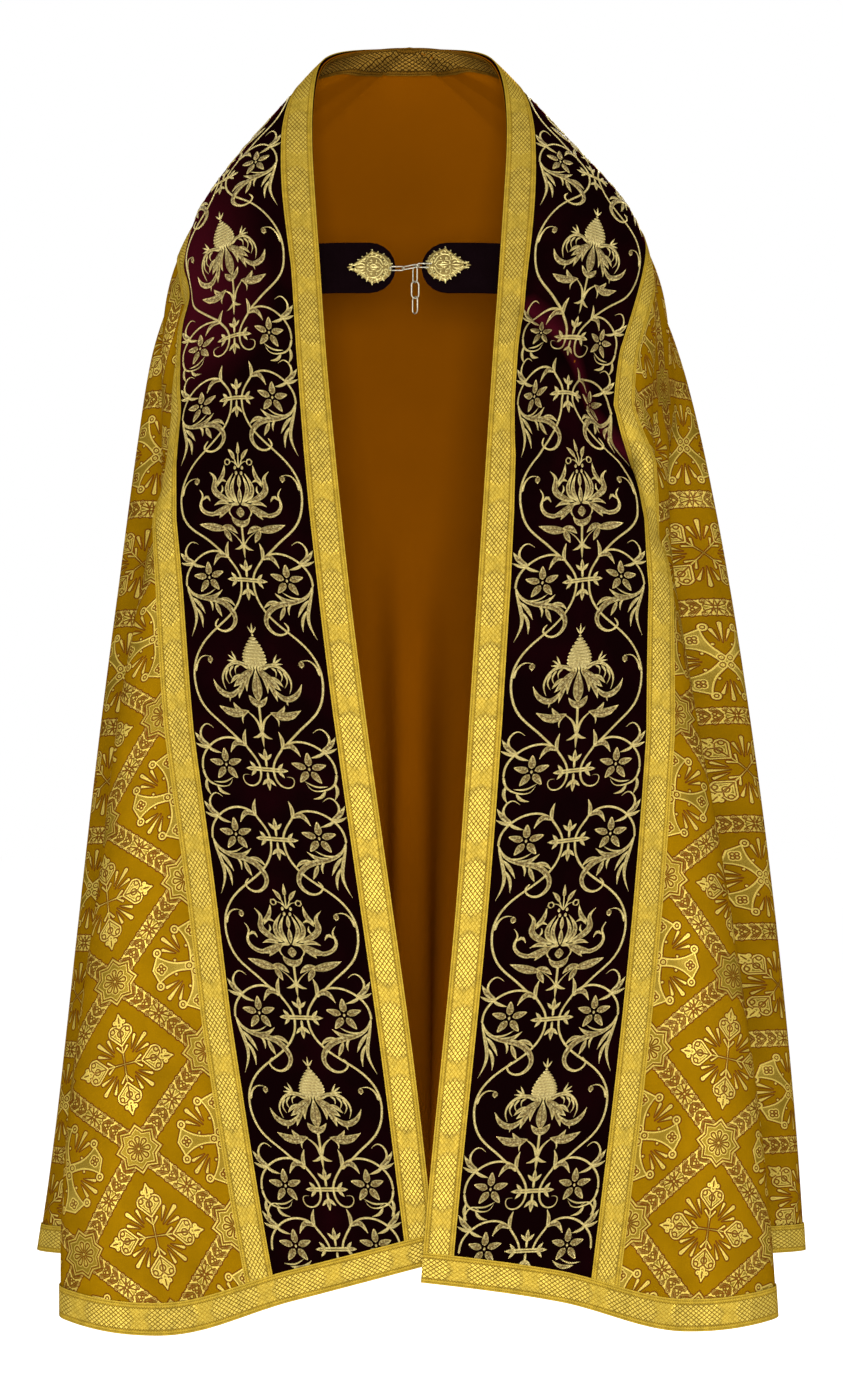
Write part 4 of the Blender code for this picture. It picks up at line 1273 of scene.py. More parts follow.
class Sprays:
    """The embroidered motifs, each about its own tie or axis."""

    HEART = 205.0

    @staticmethod
    def blossom(x: float, y: float) -> list[Stroke]:
        """A blossom of five pointed petals round a knot.

        Args:
            x: its middle, across the band.
            y: its middle, along the band.

        Returns:
            Its strokes.
        """
        strokes = [dot(1.9, x, y)]
        for k in range(5):
            turn = math.radians(-90 + 72 * k)
            foot, tip = ((x + reach * math.cos(turn), y + reach * math.sin(turn)) for reach in (3.4, 19.0))
            strokes.append(horn(12.5, foot, tip))
        return strokes

    @classmethod
    def scroll(cls, trailing: bool) -> list[Stroke]:
        """One side's scroll round its blossom.

        Args:
            trailing: whether a leafy hook trails from it.

        Returns:
            The strokes of the band's right half.
        """
        strokes = [
            stem(2.9, (20.5, -26), (31, -32.5), (45, -33.5), (61, -26), (72, -11), (73.5, 1)),
            leaf(5.2, (20, -23), (21.5, -33), (18.5, -44)),
            leaf(7.0, (18, -24), (30, -28.5), (39, -17)),
            horn(4.2, (62, -25), (70, -34), (70, -44), (63, -50), (55, -45)),
            leaf(6.4, (61, -24), (70, -31), (77.5, -42)),
            leaf(4.6, (60, -23), (70, -25), (78, -29.5)),
            leaf(4.2, (65, -24), (57, -19), (49.5, -16.5)),
            leaf(2.4, (63, 15), (51, 16), (39, 10)),
            *cls.blossom(46, -3.5),
        ]
        if trailing:
            strokes += [
                hook(7.4, (73.5, -1), (69, 9), (60, 17), (46, 22), (31, 27), (21.5, 36), (18, 46), (24, 57),
                     (35, 59.5), (42.5, 52), (38, 45)),
                leaf(5.8, (56, 18.5), (42, 19.5), (31, 12)),
                leaf(5.4, (36, 23), (25, 24), (17, 31)),
                leaf(3.4, (49, 22), (45, 28), (45, 36)),
                leaf(5.6, (41, 26), (38, 34), (34, 43)),
                leaf(4.6, (73.5, 2), (68, 21), (65, 41), (72, 62)),
                leaf(4.6, (68, 16), (60, 26), (54, 38)),
                leaf(4.2, (65, 28), (59, 40), (58, 54)),
            ]
        else:
            strokes += [
                horn(3.4, (73.5, 0), (70, 12), (58, 20), (45, 19), (41, 13)),
                leaf(4.4, (70, 10), (72, 20), (68, 30)),
                leaf(4.2, (60, 19), (55, 27), (46, 30)),
            ]
        return strokes

    @staticmethod
    def tie() -> list[Stroke]:
        """The cross-shaped tie that holds the two stems together.

        Returns:
            Its strokes, both halves.
        """
        strokes = [stem(2.5, (-15, -1.3), (15, -1.3)), stem(2.5, (-15, 1.3), (15, 1.3))]
        for way in (1, -1):
            strokes += [
                leaf(5.6, (12 * way, 0), (23.5 * way, 0)),
                leaf(4.4, (12 * way, 0), (18.5 * way, -8)),
                leaf(4.4, (12 * way, 0), (18.5 * way, 8)),
                stem(3.2, (0, 2.5 * way), (0, 13 * way)),
                leaf(5.6, (0, 10 * way), (0, 23.5 * way)),
                leaf(4.4, (0, 10 * way), (7.6, 18 * way)),
                leaf(4.4, (0, 10 * way), (-7.6, 18 * way)),
            ]
        return strokes

    @staticmethod
    def heart() -> list[Stroke]:
        """One side of the heart-shaped frame between two ties, with its bud.

        Returns:
            The strokes of the band's right half.
        """
        return [
            stem(2.9, (7, 0), (8.5, 14), (18, 33), (38, 51), (58, 68), (70, 89), (71.5, 113), (63, 138),
                 (43, 159), (29, 173), (20.5, 181)),
            horn(3.6, (70, 99), (67, 89), (60, 83), (52, 84)),
            dot(4.2, 52, 87.5),
        ]

    @staticmethod
    def foot() -> list[Stroke]:
        """The crossed foot of a stalk."""
        return [leaf(3.8, (0, 160), (0, 181)), *both([leaf(4.2, (-1.5, 163), (5, 170), (11, 171.5))])]

    @classmethod
    def lily(cls) -> list[Stroke]:
        """A full-blown lily on its stalk.

        Returns:
            Its strokes, both halves.
        """
        side = [
            horn(1.9, (0.5, 167), (8, 157), (17, 150)),
            leaf(10.5, (19, 149), (33, 146), (51, 139)),
            leaf(7.6, (24, 146), (15, 147), (6, 154)),
            leaf(7.6, (22, 148), (18, 155), (14, 163)),
            leaf(6.2, (3, 120), (15.5, 105), (7, 86)),
            leaf(5.6, (2, 120), (9.5, 105), (4, 88)),
            leaf(4.4, (10, 117), (15, 110), (17.5, 100)),
            stem(1.7, (1, 80), (5, 69)),
            leaf(5.6, (4.5, 71), (8, 64), (13, 58.5)),
            horn(2.0, (1.5, 78), (7, 73), (11, 72.5)),
            stem(1.9, (13, 76.5), (10.6, 73.2), (13, 70), (16.4, 70.6), (16.6, 75), (13, 76.5)),
            dot(2.3, 4.6, 80),
            dot(2.3, 3.2, 86),
            leaf(8.0, (8, 119), (23, 112), (32, 101), (30.5, 91), (37, 81)),
            leaf(6.0, (30, 97), (22, 90), (18, 76)),
            leaf(4.4, (28, 100), (22, 93), (15.5, 96)),
            leaf(2.8, (25, 109), (21, 104), (22, 99)),
            leaf(10.0, (8, 120), (22, 128), (38, 131)),
            horn(6.2, (30, 131.5), (43, 127), (48.5, 116), (46, 107), (50, 98)),
            leaf(4.2, (47, 113), (41, 109), (37, 115)),
            leaf(7.0, (13, 122), (19, 128), (26, 136)),
            leaf(5.6, (13, 121), (23, 118), (32, 121)),
            horn(4.8, (1, 121), (10, 122), (13.5, 129), (9, 136)),
        ]
        middle = [
            stem(3.2, (0, 142), (0, 168)),
            leaf(9.0, (-11, 135), (-6, 141), (0, 143), (6, 141), (11, 135)),
            dot(5.8, 0, 130),
            leaf(6.4, (0, 120), (0, 102)),
            leaf(5.6, (0, 103), (0, 88)),
            stem(1.7, (0, 79), (0, 64)),
            horn(6.4, (0, 65), (0, 51)),
            dot(2.3, 0, 78),
        ]
        return [*both(side), *middle, *cls.foot()]

    @classmethod
    def thistle(cls) -> list[Stroke]:
        """A scaly cone over drooping leaves on its stalk.

        Returns:
            Its strokes, both halves.
        """
        half_widths = (1.6, 4.2, 6.6, 8.8, 10.8, 12.4, 13.7, 14.4, 14.2, 12.8)
        cone = [stem(4.3, (-w, 60.5 + 3.5 * k), (w, 60.5 + 3.5 * k)) for k, w in enumerate(half_widths)]
        side = [
            leaf(2.2, (0, 59), (5, 51)),
            leaf(4.6, (2.5, 99), (7, 83)),
            leaf(4.6, (5, 99), (13, 86)),
            leaf(3.6, (8, 98), (17.5, 91)),
            horn(5.6, (6, 96), (23, 91.5), (35, 99), (39, 110), (36, 121)),
            horn(3.2, (18, 94), (23, 97), (23, 104)),
            horn(3.2, (25, 94.5), (30, 102), (27, 110)),
            horn(3.2, (31, 97.5), (35, 107), (31.5, 115)),
            stem(2.4, (11, 95), (22, 89)),
            leaf(2.7, (21, 90), (26, 79)),
            leaf(2.7, (21.5, 90), (30.5, 83)),
            leaf(2.7, (21.5, 90), (32, 89)),
            leaf(11.0, (2, 97), (14, 107), (27, 118)),
            leaf(5.2, (17, 104), (23, 107), (30, 114)),
            leaf(5.4, (6, 103), (11, 111), (12, 122)),
            leaf(6.4, (12, 109), (18, 118), (22, 130)),
            leaf(7.6, (19, 117), (32, 127), (43, 122), (50, 109)),
            leaf(2.2, (31, 125), (33, 134)),
            horn(4.6, (0, 166), (5, 152), (15, 143)),
            leaf(11.0, (12, 143), (28, 146), (46, 138)),
            leaf(5.6, (19, 144), (26, 140), (29, 134.5)),
            leaf(4.6, (28, 145), (35, 147), (40, 145)),
            leaf(2.6, (16, 147), (20, 150), (20, 157)),
        ]
        middle = [
            *cone,
            leaf(2.4, (0, 60), (0, 47)),
            leaf(4.8, (0, 99), (0, 81)),
            petal(13.0, (0, 96), (0, 132)),
            leaf(9.0, (-10.5, 126), (-5, 133), (0, 135), (5, 133), (10.5, 126)),
            stem(3.2, (0, 134), (0, 168)),
        ]
        return [*both(side), *middle, *cls.foot()]

    @staticmethod
    def stem_end() -> list[Stroke]:
        """The curl that ends a stem under a closing tie."""
        return [horn(3.2, (7.4, -2), (9, 11), (17, 19), (27, 16), (27.5, 8), (21, 7))]

    @staticmethod
    def nape() -> list[Stroke]:
        """What curls round the blossoms of the centre back, on one side and below it.

        Returns:
            The strokes of the band's right half.
        """
        return [
            stem(2.9, (73.5, -1), (72, 14), (62, 25)),
            horn(3.4, (72, 12), (62, 24), (50, 26), (41, 19), (43, 13)),
            leaf(5.2, (70, 15), (74, 27), (70, 38)),
            leaf(4.2, (62, 23), (56, 32), (47, 35)),
        ]

    @staticmethod
    def stem_start() -> list[Stroke]:
        """The stem's way from the scroll down to its tie."""
        return [stem(2.9, (20.5, -25), (14, -16), (9, -7), (7, 0))]


@dataclass
class Needlework:
    """Gathers strokes into the points and faces of one raised piece.

    Stations stand closer at a stroke's ends by the share easing, and thinnest is the least half
    width in millimetres. The crown rises with the width by the two numbers of swell, up to widest.
    """

    spacing: float = 2.5
    slimness: float = 1.0
    across: tuple[float, ...] = (-1.0, -0.7, 0.0, 0.7, 1.0)
    crown: tuple[float, ...] = (0.0, 0.78, 1.0, 0.78, 0.0)
    easing: float = 0.35
    thinnest: float = 0.12
    swell: tuple[float, float] = (0.62, 0.13)
    widest: float = 8.0
    spots: list[Points] = field(default_factory=list)
    heights: list[Points] = field(default_factory=list)
    marks: list[Points] = field(default_factory=list)
    faces: list[list[int]] = field(default_factory=list)
    count: int = 0

    def work(self, stroke: Stroke, base: float, rise: float) -> None:
        """Adds one stroke.

        Args:
            stroke: in millimetres.
            base: height of its foot in metres.
            rise: height of its crown over the foot, for a stroke 3 mm wide.
        """
        knots = np.array(stroke.line, float)
        steps = np.concatenate([[0], np.cumsum(np.linalg.norm(np.diff(knots, axis=0), axis=1))])
        stations = max(4, int(steps[-1] / self.spacing) + 1)
        share = np.linspace(0, 1, stations)
        share = (1 - np.cos(math.pi * share)) / 2 * self.easing + share * (1 - self.easing)
        line = spline(steps, knots, share * steps[-1])
        way = np.gradient(line, axis=0)
        way /= np.linalg.norm(way, axis=1, keepdims=True) + LEAST
        side = np.stack([-way[:, 1], way[:, 0]], axis=1)
        half = stroke.cut.width(share, stroke.width / 2 / steps[-1]) * stroke.width / 2 * self.slimness
        half = np.maximum(half, self.thinnest)
        swell = self.swell[0] + self.swell[1] * np.minimum(stroke.width, self.widest)
        for v, h in zip(self.across, self.crown):
            self.spots.append((line + side * (half * v)[:, None]) / 1000)
            lift = rise * swell * np.sqrt(half / (stroke.width / 2))
            self.heights.append(base + h * lift)
            self.marks.append(np.stack([share * steps[-1], half * v, half], axis=1) / 1000)
        wide = len(self.across)
        at = (self.count + np.arange(wide)[:, None] * stations + np.arange(stations)).tolist()
        for k in range(wide):
            row, after = at[k], at[(k + 1) % wide]
            for i in range(stations - 1):
                self.faces.append([row[i], row[i + 1], after[i + 1], after[i]])
        self.faces.append([row[0] for row in at])
        self.faces.append([row[-1] for row in reversed(at)])
        self.count += wide * stations

    def finished(self) -> tuple[Points, Points, Points]:
        """Spots, heights and marks of all points."""
        return np.concatenate(self.spots), np.concatenate(self.heights), np.concatenate(self.marks)


@dataclass
class Vestment:
    """The sewn cloth of the cope: brocade, orphrey, lining and braids."""

    drape: Drape
    brocade_columns: int = 176
    brocade_rows: int = 130
    lining_columns: int = 150
    lining_rows: int = 110
    band_step: float = 0.006
    braid_step: float = 0.0057
    hem_columns: int = 400
    hem_rows: int = 7
    lining_spread: float = 1.35
    seam_guess: float = 1.5
    seam_rounds: int = 6
    materials: dict[Layer, bpy.types.Material] = field(default_factory=dict)

    def dress(self) -> None:
        """Makes the finishes."""
        self.materials = {
            Layer.BROCADE: BrocadeFinish().make(),
            Layer.ORPHREY: VelvetFinish().make(),
            Layer.LINING: LiningFinish().make(),
            Layer.BRAID: BraidFinish("galloon").make(),
            # The braid inside the neck: dulled colours of its inner face, darkened by light 0.32 as painted
            # shade.
            Layer.NECK_BRAID: BraidFinish(
                "galloon_inside", light=0.32, gold=hue(122, 84, 14), speckle=hue(156, 112, 36),
                diamond=hue(232, 184, 84), gap=hue(50, 24, 4), edge=hue(128, 86, 20), zone=0.2
            ).make(),
        }

    def seam_end(self, side: Wearer, t: Points, share: float) -> Points:
        """How far lines parallel to the straight edge run before a share of the way to the hem.

        Args:
            side: the wearer's side.
            t: distances of the lines from the straight edge.
            share: share of the way to the hem at which they end.

        Returns:
            The s of each end.
        """
        end = np.full(len(t), self.seam_guess)
        for _ in range(self.seam_rounds):
            reach = self.drape.hem_radius(side, np.degrees(np.arctan2(t, end))) * share
            end = np.sqrt(reach**2 - t**2)
        return end

    def strip(self, side: Wearer, first: float, last: float, share: float, step: float,
              longest: float = math.inf) -> FlatNet:
        """Net of a strip along the straight edge, from the centre back to a share of the way to the hem.

        Args:
            side: the wearer's side.
            first: its nearer edge, in from the straight edge.
            last: its farther edge.
            share: share of the way to the hem at which it ends.
            step: size of its faces.
            longest: its greatest length.

        Returns:
            The net.
        """
        t = np.linspace(first, last, max(3, round((last - first) / step)) + 1)
        end = np.minimum(self.seam_end(side, t, share), longest)
        along = np.linspace(0, 1, round(float(end.max()) / step) + 1)
        s = along[:, None] * end[None, :]
        return FlatNet.of(side.value * s, np.broadcast_to(t, s.shape).copy())

    def panel(self, side: Wearer) -> FlatNet:
        """Net of the brocade, from the orphrey's seam to the hem.

        Args:
            side: the wearer's side.

        Returns:
            The net.
        """
        start = ORPHREY_WIDTH + SEAM
        low = np.degrees(np.arctan2(start, self.seam_end(side, np.array([start]), 1.0)))[0]
        angle = np.linspace(low, 90, self.brocade_columns)
        first = start / np.sin(np.radians(angle))
        last = self.drape.hem_radius(side, angle)
        last[0] = first[0]
        along = np.linspace(0, 1, self.brocade_rows)[:, None]
        radius = first + (last - first) * along
        turn = np.radians(angle)
        return FlatNet.of(side.value * np.maximum(radius * np.cos(turn), 0.0), radius * np.sin(turn))

    def circle(self, side: Wearer, first: float, rows: int, columns: int) -> tuple[FlatNet, Points]:
        """Net of the whole half cloak from a share of the way to the hem, with its braid mark.

        Args:
            side: the wearer's side.
            first: share of the way to the hem at which it begins.
            rows: rows from there to the hem.
            columns: columns round the cloak.

        Returns:
            The net, and (length along the hem, place across the braid, 0) for each point.
        """
        angle = np.linspace(0, 90, columns)
        spread = self.lining_spread if first == 0 else 1.0
        share = first + (1 - first) * np.linspace(0, 1, rows)[:, None] ** spread
        radius = self.drape.hem_radius(side, angle) * share
        turn = np.radians(angle)
        net = FlatNet.of(side.value * np.maximum(radius * np.cos(turn), 0.0), radius * np.sin(turn))
        s, t = abs(net.flat[:, 0]), net.flat[:, 1]
        around = np.arctan2(t, s)
        reach = self.drape.hem_radius(side, np.degrees(around))
        across = (np.hypot(s, t) / reach - HEM_BRAID_SHARE) / (1 - HEM_BRAID_SHARE) * BRAID_WIDTH
        return net, np.stack([around * reach, across, np.zeros_like(s)], axis=1)

    def add(self, name: str, net: FlatNet, layer: Layer, marks: dict[str, Points] | None = None,
            rests_on: Sequence[str] = (), cut: tuple[float, float] | None = None) -> None:
        """Hangs a sheet that stands for the node of its name.

        Args:
            name: the node's name.
            net: its flat net.
            layer: the layer that it is in.
            marks: vectors for each flat point, which its finish reads.
            rests_on: nodes that it lies on; not used.
            cut: its flat size, where that is not the box of its net; not used.
        """
        slot, back, top = layer.value
        made = hang(f"{name}_cloth", net, self.drape, back, top, self.materials[layer], marks)
        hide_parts(name)
        log.info("%s: %d points", made.name, len(made.data.vertices))

    @staticmethod
    def face_area(corners: Points) -> float:
        """Area of one flat face."""
        after = np.roll(corners, -1, axis=0)
        return abs(float((corners[:, 0] * after[:, 1] - after[:, 0] * corners[:, 1]).sum())) / 2

    def build(self) -> None:
        """Hangs every sheet of both sides."""
        self.dress()
        for side in Wearer:
            word = side.word
            lining, _ = self.circle(side, 0.0, self.lining_rows, self.lining_columns)
            self.add(f"lining_{word}", lining, Layer.LINING)
            self.add(f"brocade_{word}", self.panel(side), Layer.BROCADE, None, [f"lining_{word}"])
            band = self.strip(side, 0.0, ORPHREY_WIDTH - SEAM, 1.0, self.band_step)
            self.add(f"orphrey_{word}", band, Layer.ORPHREY, None, [f"lining_{word}"])
            half = BRAID_WIDTH / 2
            strips = (
                ("galloon_inner", 0.0, Layer.BRAID, math.inf),
                ("galloon_outer", ORPHREY_WIDTH - half, Layer.BRAID, math.inf),
                ("neck_facing", 0.0, Layer.NECK_BRAID, NECK_BRAID_REACH),
            )
            for kind, first, layer, longest in strips:
                last, end = first + BRAID_WIDTH, HEM_BRAID_SHARE - HEM_GAP_SHARE
                net = self.strip(side, first, last, end, self.braid_step, longest)
                along, across = abs(net.flat[:, 0]), net.flat[:, 1] - first
                mark = np.stack([along, across, np.zeros_like(along)], axis=1)
                self.add(f"{kind}_{word}", net, layer, {"braid": mark}, [f"orphrey_{word}"])
            hem, mark = self.circle(side, HEM_BRAID_SHARE, self.hem_rows, self.hem_columns)
            length = float(mark[:, 0].max() - mark[:, 0].min())
            self.add(f"galloon_hem_{word}", hem, Layer.BRAID, {"braid": mark}, [f"brocade_{word}"],
                     (BRAID_WIDTH, length))


@dataclass
class Embroidery:
    """The orphrey's metal-thread embroidery, raised on the velvet of one side."""

    drape: Drape
    side: Wearer
    lily_ties: tuple[tuple[float, float], ...] = ((0.085, 0.290), (0.597, 0.810), (1.1025, 1.3005))
    thistle_ties: tuple[tuple[float, float], ...] = ((0.290, 0.520), (0.810, 1.0245), (1.3005, 1.490))
    opening_ties: tuple[float, ...] = (0.085, 0.597, 1.1025, 1.5555)
    middle_ties: tuple[float, ...] = (0.290, 0.810, 1.3005)
    closing_ties: tuple[float, ...] = (0.520, 1.0245, 1.490)
    base: float = 0.0009
    rise: float = 0.0009
    lowest_share: float = 0.9775
    lowest_angle: float = 4.0
    overrun: float = 12.0
    hidden_rise: float = 0.0003
    slimness: float = 0.93

    def strokes(self) -> list[Stroke]:
        """Every stroke of the band, x from the band's middle and y from the nape, in millimetres.

        Returns:
            The strokes, both halves of the band.
        """
        made: list[Stroke] = []
        sprays = Sprays

        def put(strokes: list[Stroke], at: float, stretch: float = 1.0) -> None:
            """Adds a motif at its place along the band."""
            made.extend(stroke.moved(0, at * 1000, stretch) for stroke in strokes)

        for at in (*self.opening_ties, *self.middle_ties):
            put(sprays.tie() + both(sprays.scroll(True) + sprays.stem_start()), at)
        for at in self.closing_ties:
            put(sprays.tie() + both(sprays.scroll(False) + sprays.stem_start() + sprays.stem_end()), at)
        put(both(sprays.nape() + sprays.stem_end()), 0.0)
        if self.side is Wearer.LEFT:
            put(sprays.tie() + both(sprays.blossom(46, 0)), 0.0)
        for ties, flower in ((self.lily_ties, sprays.lily), (self.thistle_ties, sprays.thistle)):
            for first, last in ties:
                put(both(sprays.heart()) + flower(), first, (last - first) * 1000 / sprays.HEART)
        return made

    def build(self, finish: bpy.types.Material) -> bpy.types.Object:
        """Works the strokes into one raised piece on the velvet.

        Args:
            finish: the material of the stitches.

        Returns:
            The piece.
        """
        work = Needlework(slimness=self.slimness)
        hem = float(self.drape.hem_radius(self.side, self.lowest_angle)[0]) * self.lowest_share * 1000
        for stroke in self.strokes():
            if max(y for _, y in stroke.line) < hem + self.overrun:
                work.work(stroke, self.base, self.rise)
        spots, heights, marks = work.finished()
        flat = np.stack([self.side.value * spots[:, 1], ORPHREY_MIDDLE - spots[:, 0]], axis=1)
        place, normal = self.drape.lie(flat)
        reach = self.drape.hem_radius(self.side, np.degrees(np.arctan2(flat[:, 1], abs(flat[:, 0]))))
        hidden = np.hypot(flat[:, 0], flat[:, 1]) > reach * HEM_BRAID_SHARE
        heights = np.where(hidden, np.minimum(heights, self.base + self.hidden_rise), heights)
        points = place + normal * heights[:, None]
        faces = work.faces if self.side is Wearer.LEFT else [face[::-1] for face in work.faces]
        made = add_piece(f"embroidery_{self.side.word}", points, faces, finish, {"stitch": marks})
        log.info("%s: %d faces", made.name, len(faces))
        return made


# Outline of a metal leaf.
# Columns: turn from its point in degrees, share of its reach, share of its half height.
LEAF_OUTLINE = (
    (0, 1.00, 0.00),
    (25, 0.56, 0.38),
    (63, 0.26, 0.72),
    (88, 0.02, 1.00),
    (133, -0.62, 0.74),
    (168, -0.97, 0.24),
    (180, -1.00, 0.00),
)
# The lozenge's stations from its middle, each with the stretch along and up that draws it to that outline.
LEAF_STATIONS = (
    (0.75, 1.00, 0.76),
    (0.50, 1.04, 0.86),
    (0.25, 1.00, 0.97),
    (-0.25, 1.20, 1.19),
    (-0.50, 1.30, 1.46),
    (-0.75, 1.20, 1.80),
)
# How near a point lies to the station that it belongs to
STATION_REACH = 0.01
# Height of the plate's rim, widths of the steps that dome it, and the share of the leaf's reach that
# it takes: more at its eye, where it goes on under the chain's end.
LEAF_EDGE = 0.0009
DOME_STEPS = (0.0026, 0.0040)
PLATE_SHARE = 0.93
PLATE_EYE_SHARE = 0.99
# A thorn's foot, its tip and the bead inside it: share of the way to the rim, and height over the plate
THORN_SPOTS = ((0.87, 0.0002), (1.02, 0.0003), (0.75, 0.0002))
THORN_RADII = (0.0022, 0.0003)
TIP_BEAD, TIP_BEAD_PLACE, INNER_BEAD = 0.0008, 0.92, 0.0011
BEAD_SQUEEZE = 0.75
PLATE_EDGE, THORN_EDGE = 40.0, 50.0
# Shares of the way to a place at which the plate is looked for, outermost first
RIM_SHARES = (1.0, 0.96, 0.92, 0.88, 0.84, 0.80, 0.70, 0.0)
RAY_START = 0.05


@dataclass(frozen=True)
class Leaf:
    """One metal leaf of the clasp: its middle, and how far it reaches, in millimetres."""

    side: Wearer
    middle_x: float
    middle_z: float
    point: float
    eye: float
    half_height: float
    thorns: int = 18
    spacing: float = 0.7
    chasing_rise: float = 0.0009
    piercing_rise: float = 0.0004

    def rim(self, turn: float, share: float) -> tuple[float, float]:
        """Place at a share of the way to the rim.

        Args:
            turn: angle in radians; 0 looks at the point.
            share: share of the way from the middle to the rim.

        Returns:
            Millimetres up the leaf, and out from its middle.
        """
        turn = math.remainder(turn, 2 * math.pi)
        turns, outs, ups = np.array(LEAF_OUTLINE).T
        out = float(np.interp(math.degrees(abs(turn)), turns, outs))
        up = float(np.interp(math.degrees(abs(turn)), turns, ups)) * math.copysign(1, turn)
        return self.half_height * up * share, out * (self.point if out > 0 else self.eye) * share

    def chasing(self) -> list[Stroke]:
        """The raised rim and the scrolls inside it.

        Returns:
            Its strokes, in millimetres up and out.
        """
        turns = [2 * math.pi * k / 28 for k in range(29)]
        made = [stem(1.3, *(self.rim(turn, 0.83) for turn in turns))]
        made += both([
            horn(2.3, (2.5, -13), (9, -9.5), (13, -2), (10.5, 5), (5.5, 5.5), (5.2, 1.5)),
            horn(1.9, (1.5, 20.5), (4.6, 15.5), (7.6, 10.5), (11.4, 5)),
            leaf(2.3, (1.8, 8), (4.4, 12.5), (2, 17)),
            leaf(2.0, (5.5, 7), (7.6, 10.5), (6, 14)),
            horn(1.6, (3.5, -15), (8, -15.5), (12, -10)),
            leaf(1.8, (6.4, -5), (10.2, -6)),
            leaf(1.8, (6.4, 0), (10.6, 1)),
            horn(1.5, (14.6, -7.0), (13.6, -2.0), (15.2, 1.0)),
            horn(1.5, (11.6, 6.5), (8.2, 11.0), (5.6, 15.0)),
            horn(1.4, (3.8, 17.5), (2.2, 20.5), (1.6, 24.0)),
            dot(0.9, 8.3, 1.8),
            leaf(1.7, (1.4, -17), (4.5, -13.5)),
            horn(1.6, (0.6, -11), (4.8, -8.0), (4.4, -3.6), (1.6, -4.2)),
            horn(1.6, (0.6, 5.5), (5.0, 3.6), (5.2, -0.6), (2.2, -1.4)),
            leaf(1.7, (0.8, -6.2), (3.0, -1.8), (1.2, 2.6)),
            leaf(1.5, (1.0, 3.6), (3.6, 6.4)),
        ])
        made += [leaf(2.2, (0, 7), (0, 19)), leaf(2.4, (0, -9.5), (0, 4.5)), dot(1.2, 0, -12)]
        return made

    def piercings(self) -> list[Stroke]:
        """The dark holes."""
        return [leaf(2.6, (-2.4, self.point * 0.70), (2.4, self.point * 0.70)),
                *both([leaf(2.8, (6.6, -14.5), (11.6, -12.2))])]

    def planes(self) -> tuple[Vector, Vector, Vector]:
        """The leaf's middle, and the ways up it and out of its face.

        Returns:
            A place in the frame and two unit vectors.
        """
        lean = math.radians(CLASP_LEAN)
        middle = Vector((self.side.value * self.middle_x / 1000, CLASP_Y, self.middle_z / 1000))
        up = Vector((0, math.sin(lean), math.cos(lean)))
        out = Vector((0, -math.cos(lean), math.sin(lean)))
        return middle, up, out

    def forge(self, name: str, finish: bpy.types.Material) -> bpy.types.Object:
        """Makes the leaf's plate from a lozenge, which is drawn to its outline and domed by insets.

        Args:
            name: the piece's name.
            finish: its material.

        Returns:
            The plate, which stands for the CAD plate and lies between the same planes.
        """
        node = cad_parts[f"clasp_plate_{self.side.word}"]
        middle, _, out = self.planes()
        depths = [(node.matrix_world @ vertex.co - middle).dot(out) for vertex in node.data.vertices]
        back, rise = min(depths), max(depths) - min(depths) - 2 * LEAF_EDGE
        bpy.ops.object.select_all(action="DESELECT")
        bpy.ops.mesh.primitive_circle_add(vertices=4, radius=1.0, fill_type="NOTHING")
        plate = bpy.context.active_object
        bpy.ops.object.mode_set(mode="EDIT")
        bpy.ops.mesh.select_all(action="SELECT")
        bpy.ops.mesh.subdivide(number_cuts=3)
        bpy.ops.mesh.edge_face_add()
        half_height, point = (PLATE_SHARE * v / 1000 for v in (self.half_height, self.point))
        eye = PLATE_EYE_SHARE * self.eye / 1000
        for at, out_share, up_share in LEAF_STATIONS:
            self.pick(plate, lambda co, at=at: abs(co.x - at) < STATION_REACH)
            bpy.ops.transform.resize(value=(out_share, up_share, 1), center_override=(0, 0, 0))
        self.pick(plate, lambda co: co.x > 0)
        bpy.ops.transform.resize(value=(point, 1, 1), center_override=(0, 0, 0))
        self.pick(plate, lambda co: co.x < 0)
        bpy.ops.transform.resize(value=(eye, 1, 1), center_override=(0, 0, 0))
        bpy.ops.mesh.select_all(action="SELECT")
        bpy.ops.transform.resize(value=(self.side.value, half_height, 1), center_override=(0, 0, 0))
        bpy.ops.mesh.extrude_region_move(TRANSFORM_OT_translate={"value": (0, 0, LEAF_EDGE)})
        for width in DOME_STEPS:
            bpy.ops.mesh.inset(thickness=width, depth=0)
            bpy.ops.transform.translate(value=(0, 0, rise / len(DOME_STEPS)))
        bpy.ops.mesh.select_all(action="SELECT")
        bpy.ops.mesh.normals_make_consistent(inside=False)
        bpy.ops.object.mode_set(mode="OBJECT")
        plate.rotation_euler = (math.pi / 2 - math.radians(CLASP_LEAN), 0, 0)
        plate.location = middle + out * back
        bpy.ops.object.transform_apply(location=True, rotation=True, scale=True)
        bpy.ops.object.shade_smooth_by_angle(angle=math.radians(PLATE_EDGE))
        plate.name = name
        plate.data.materials.append(finish)
        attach(plate, ROOT)
        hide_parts(node.name)
        plate.select_set(False)
        log.info("%s: %d faces", plate.name, len(plate.data.polygons))
        return plate

    @staticmethod
    def pick(made: bpy.types.Object, wanted: Callable[[Vector], bool]) -> None:
        """Selects, in edit mode, the points whose places are wanted.

        Args:
            made: the object in edit mode.
            wanted: tells for a place whether its point is selected.
        """
        shape = bmesh.from_edit_mesh(made.data)
        for vertex in shape.verts:
            vertex.select = wanted(vertex.co)
        shape.select_flush_mode()
        bmesh.update_edit_mesh(made.data)

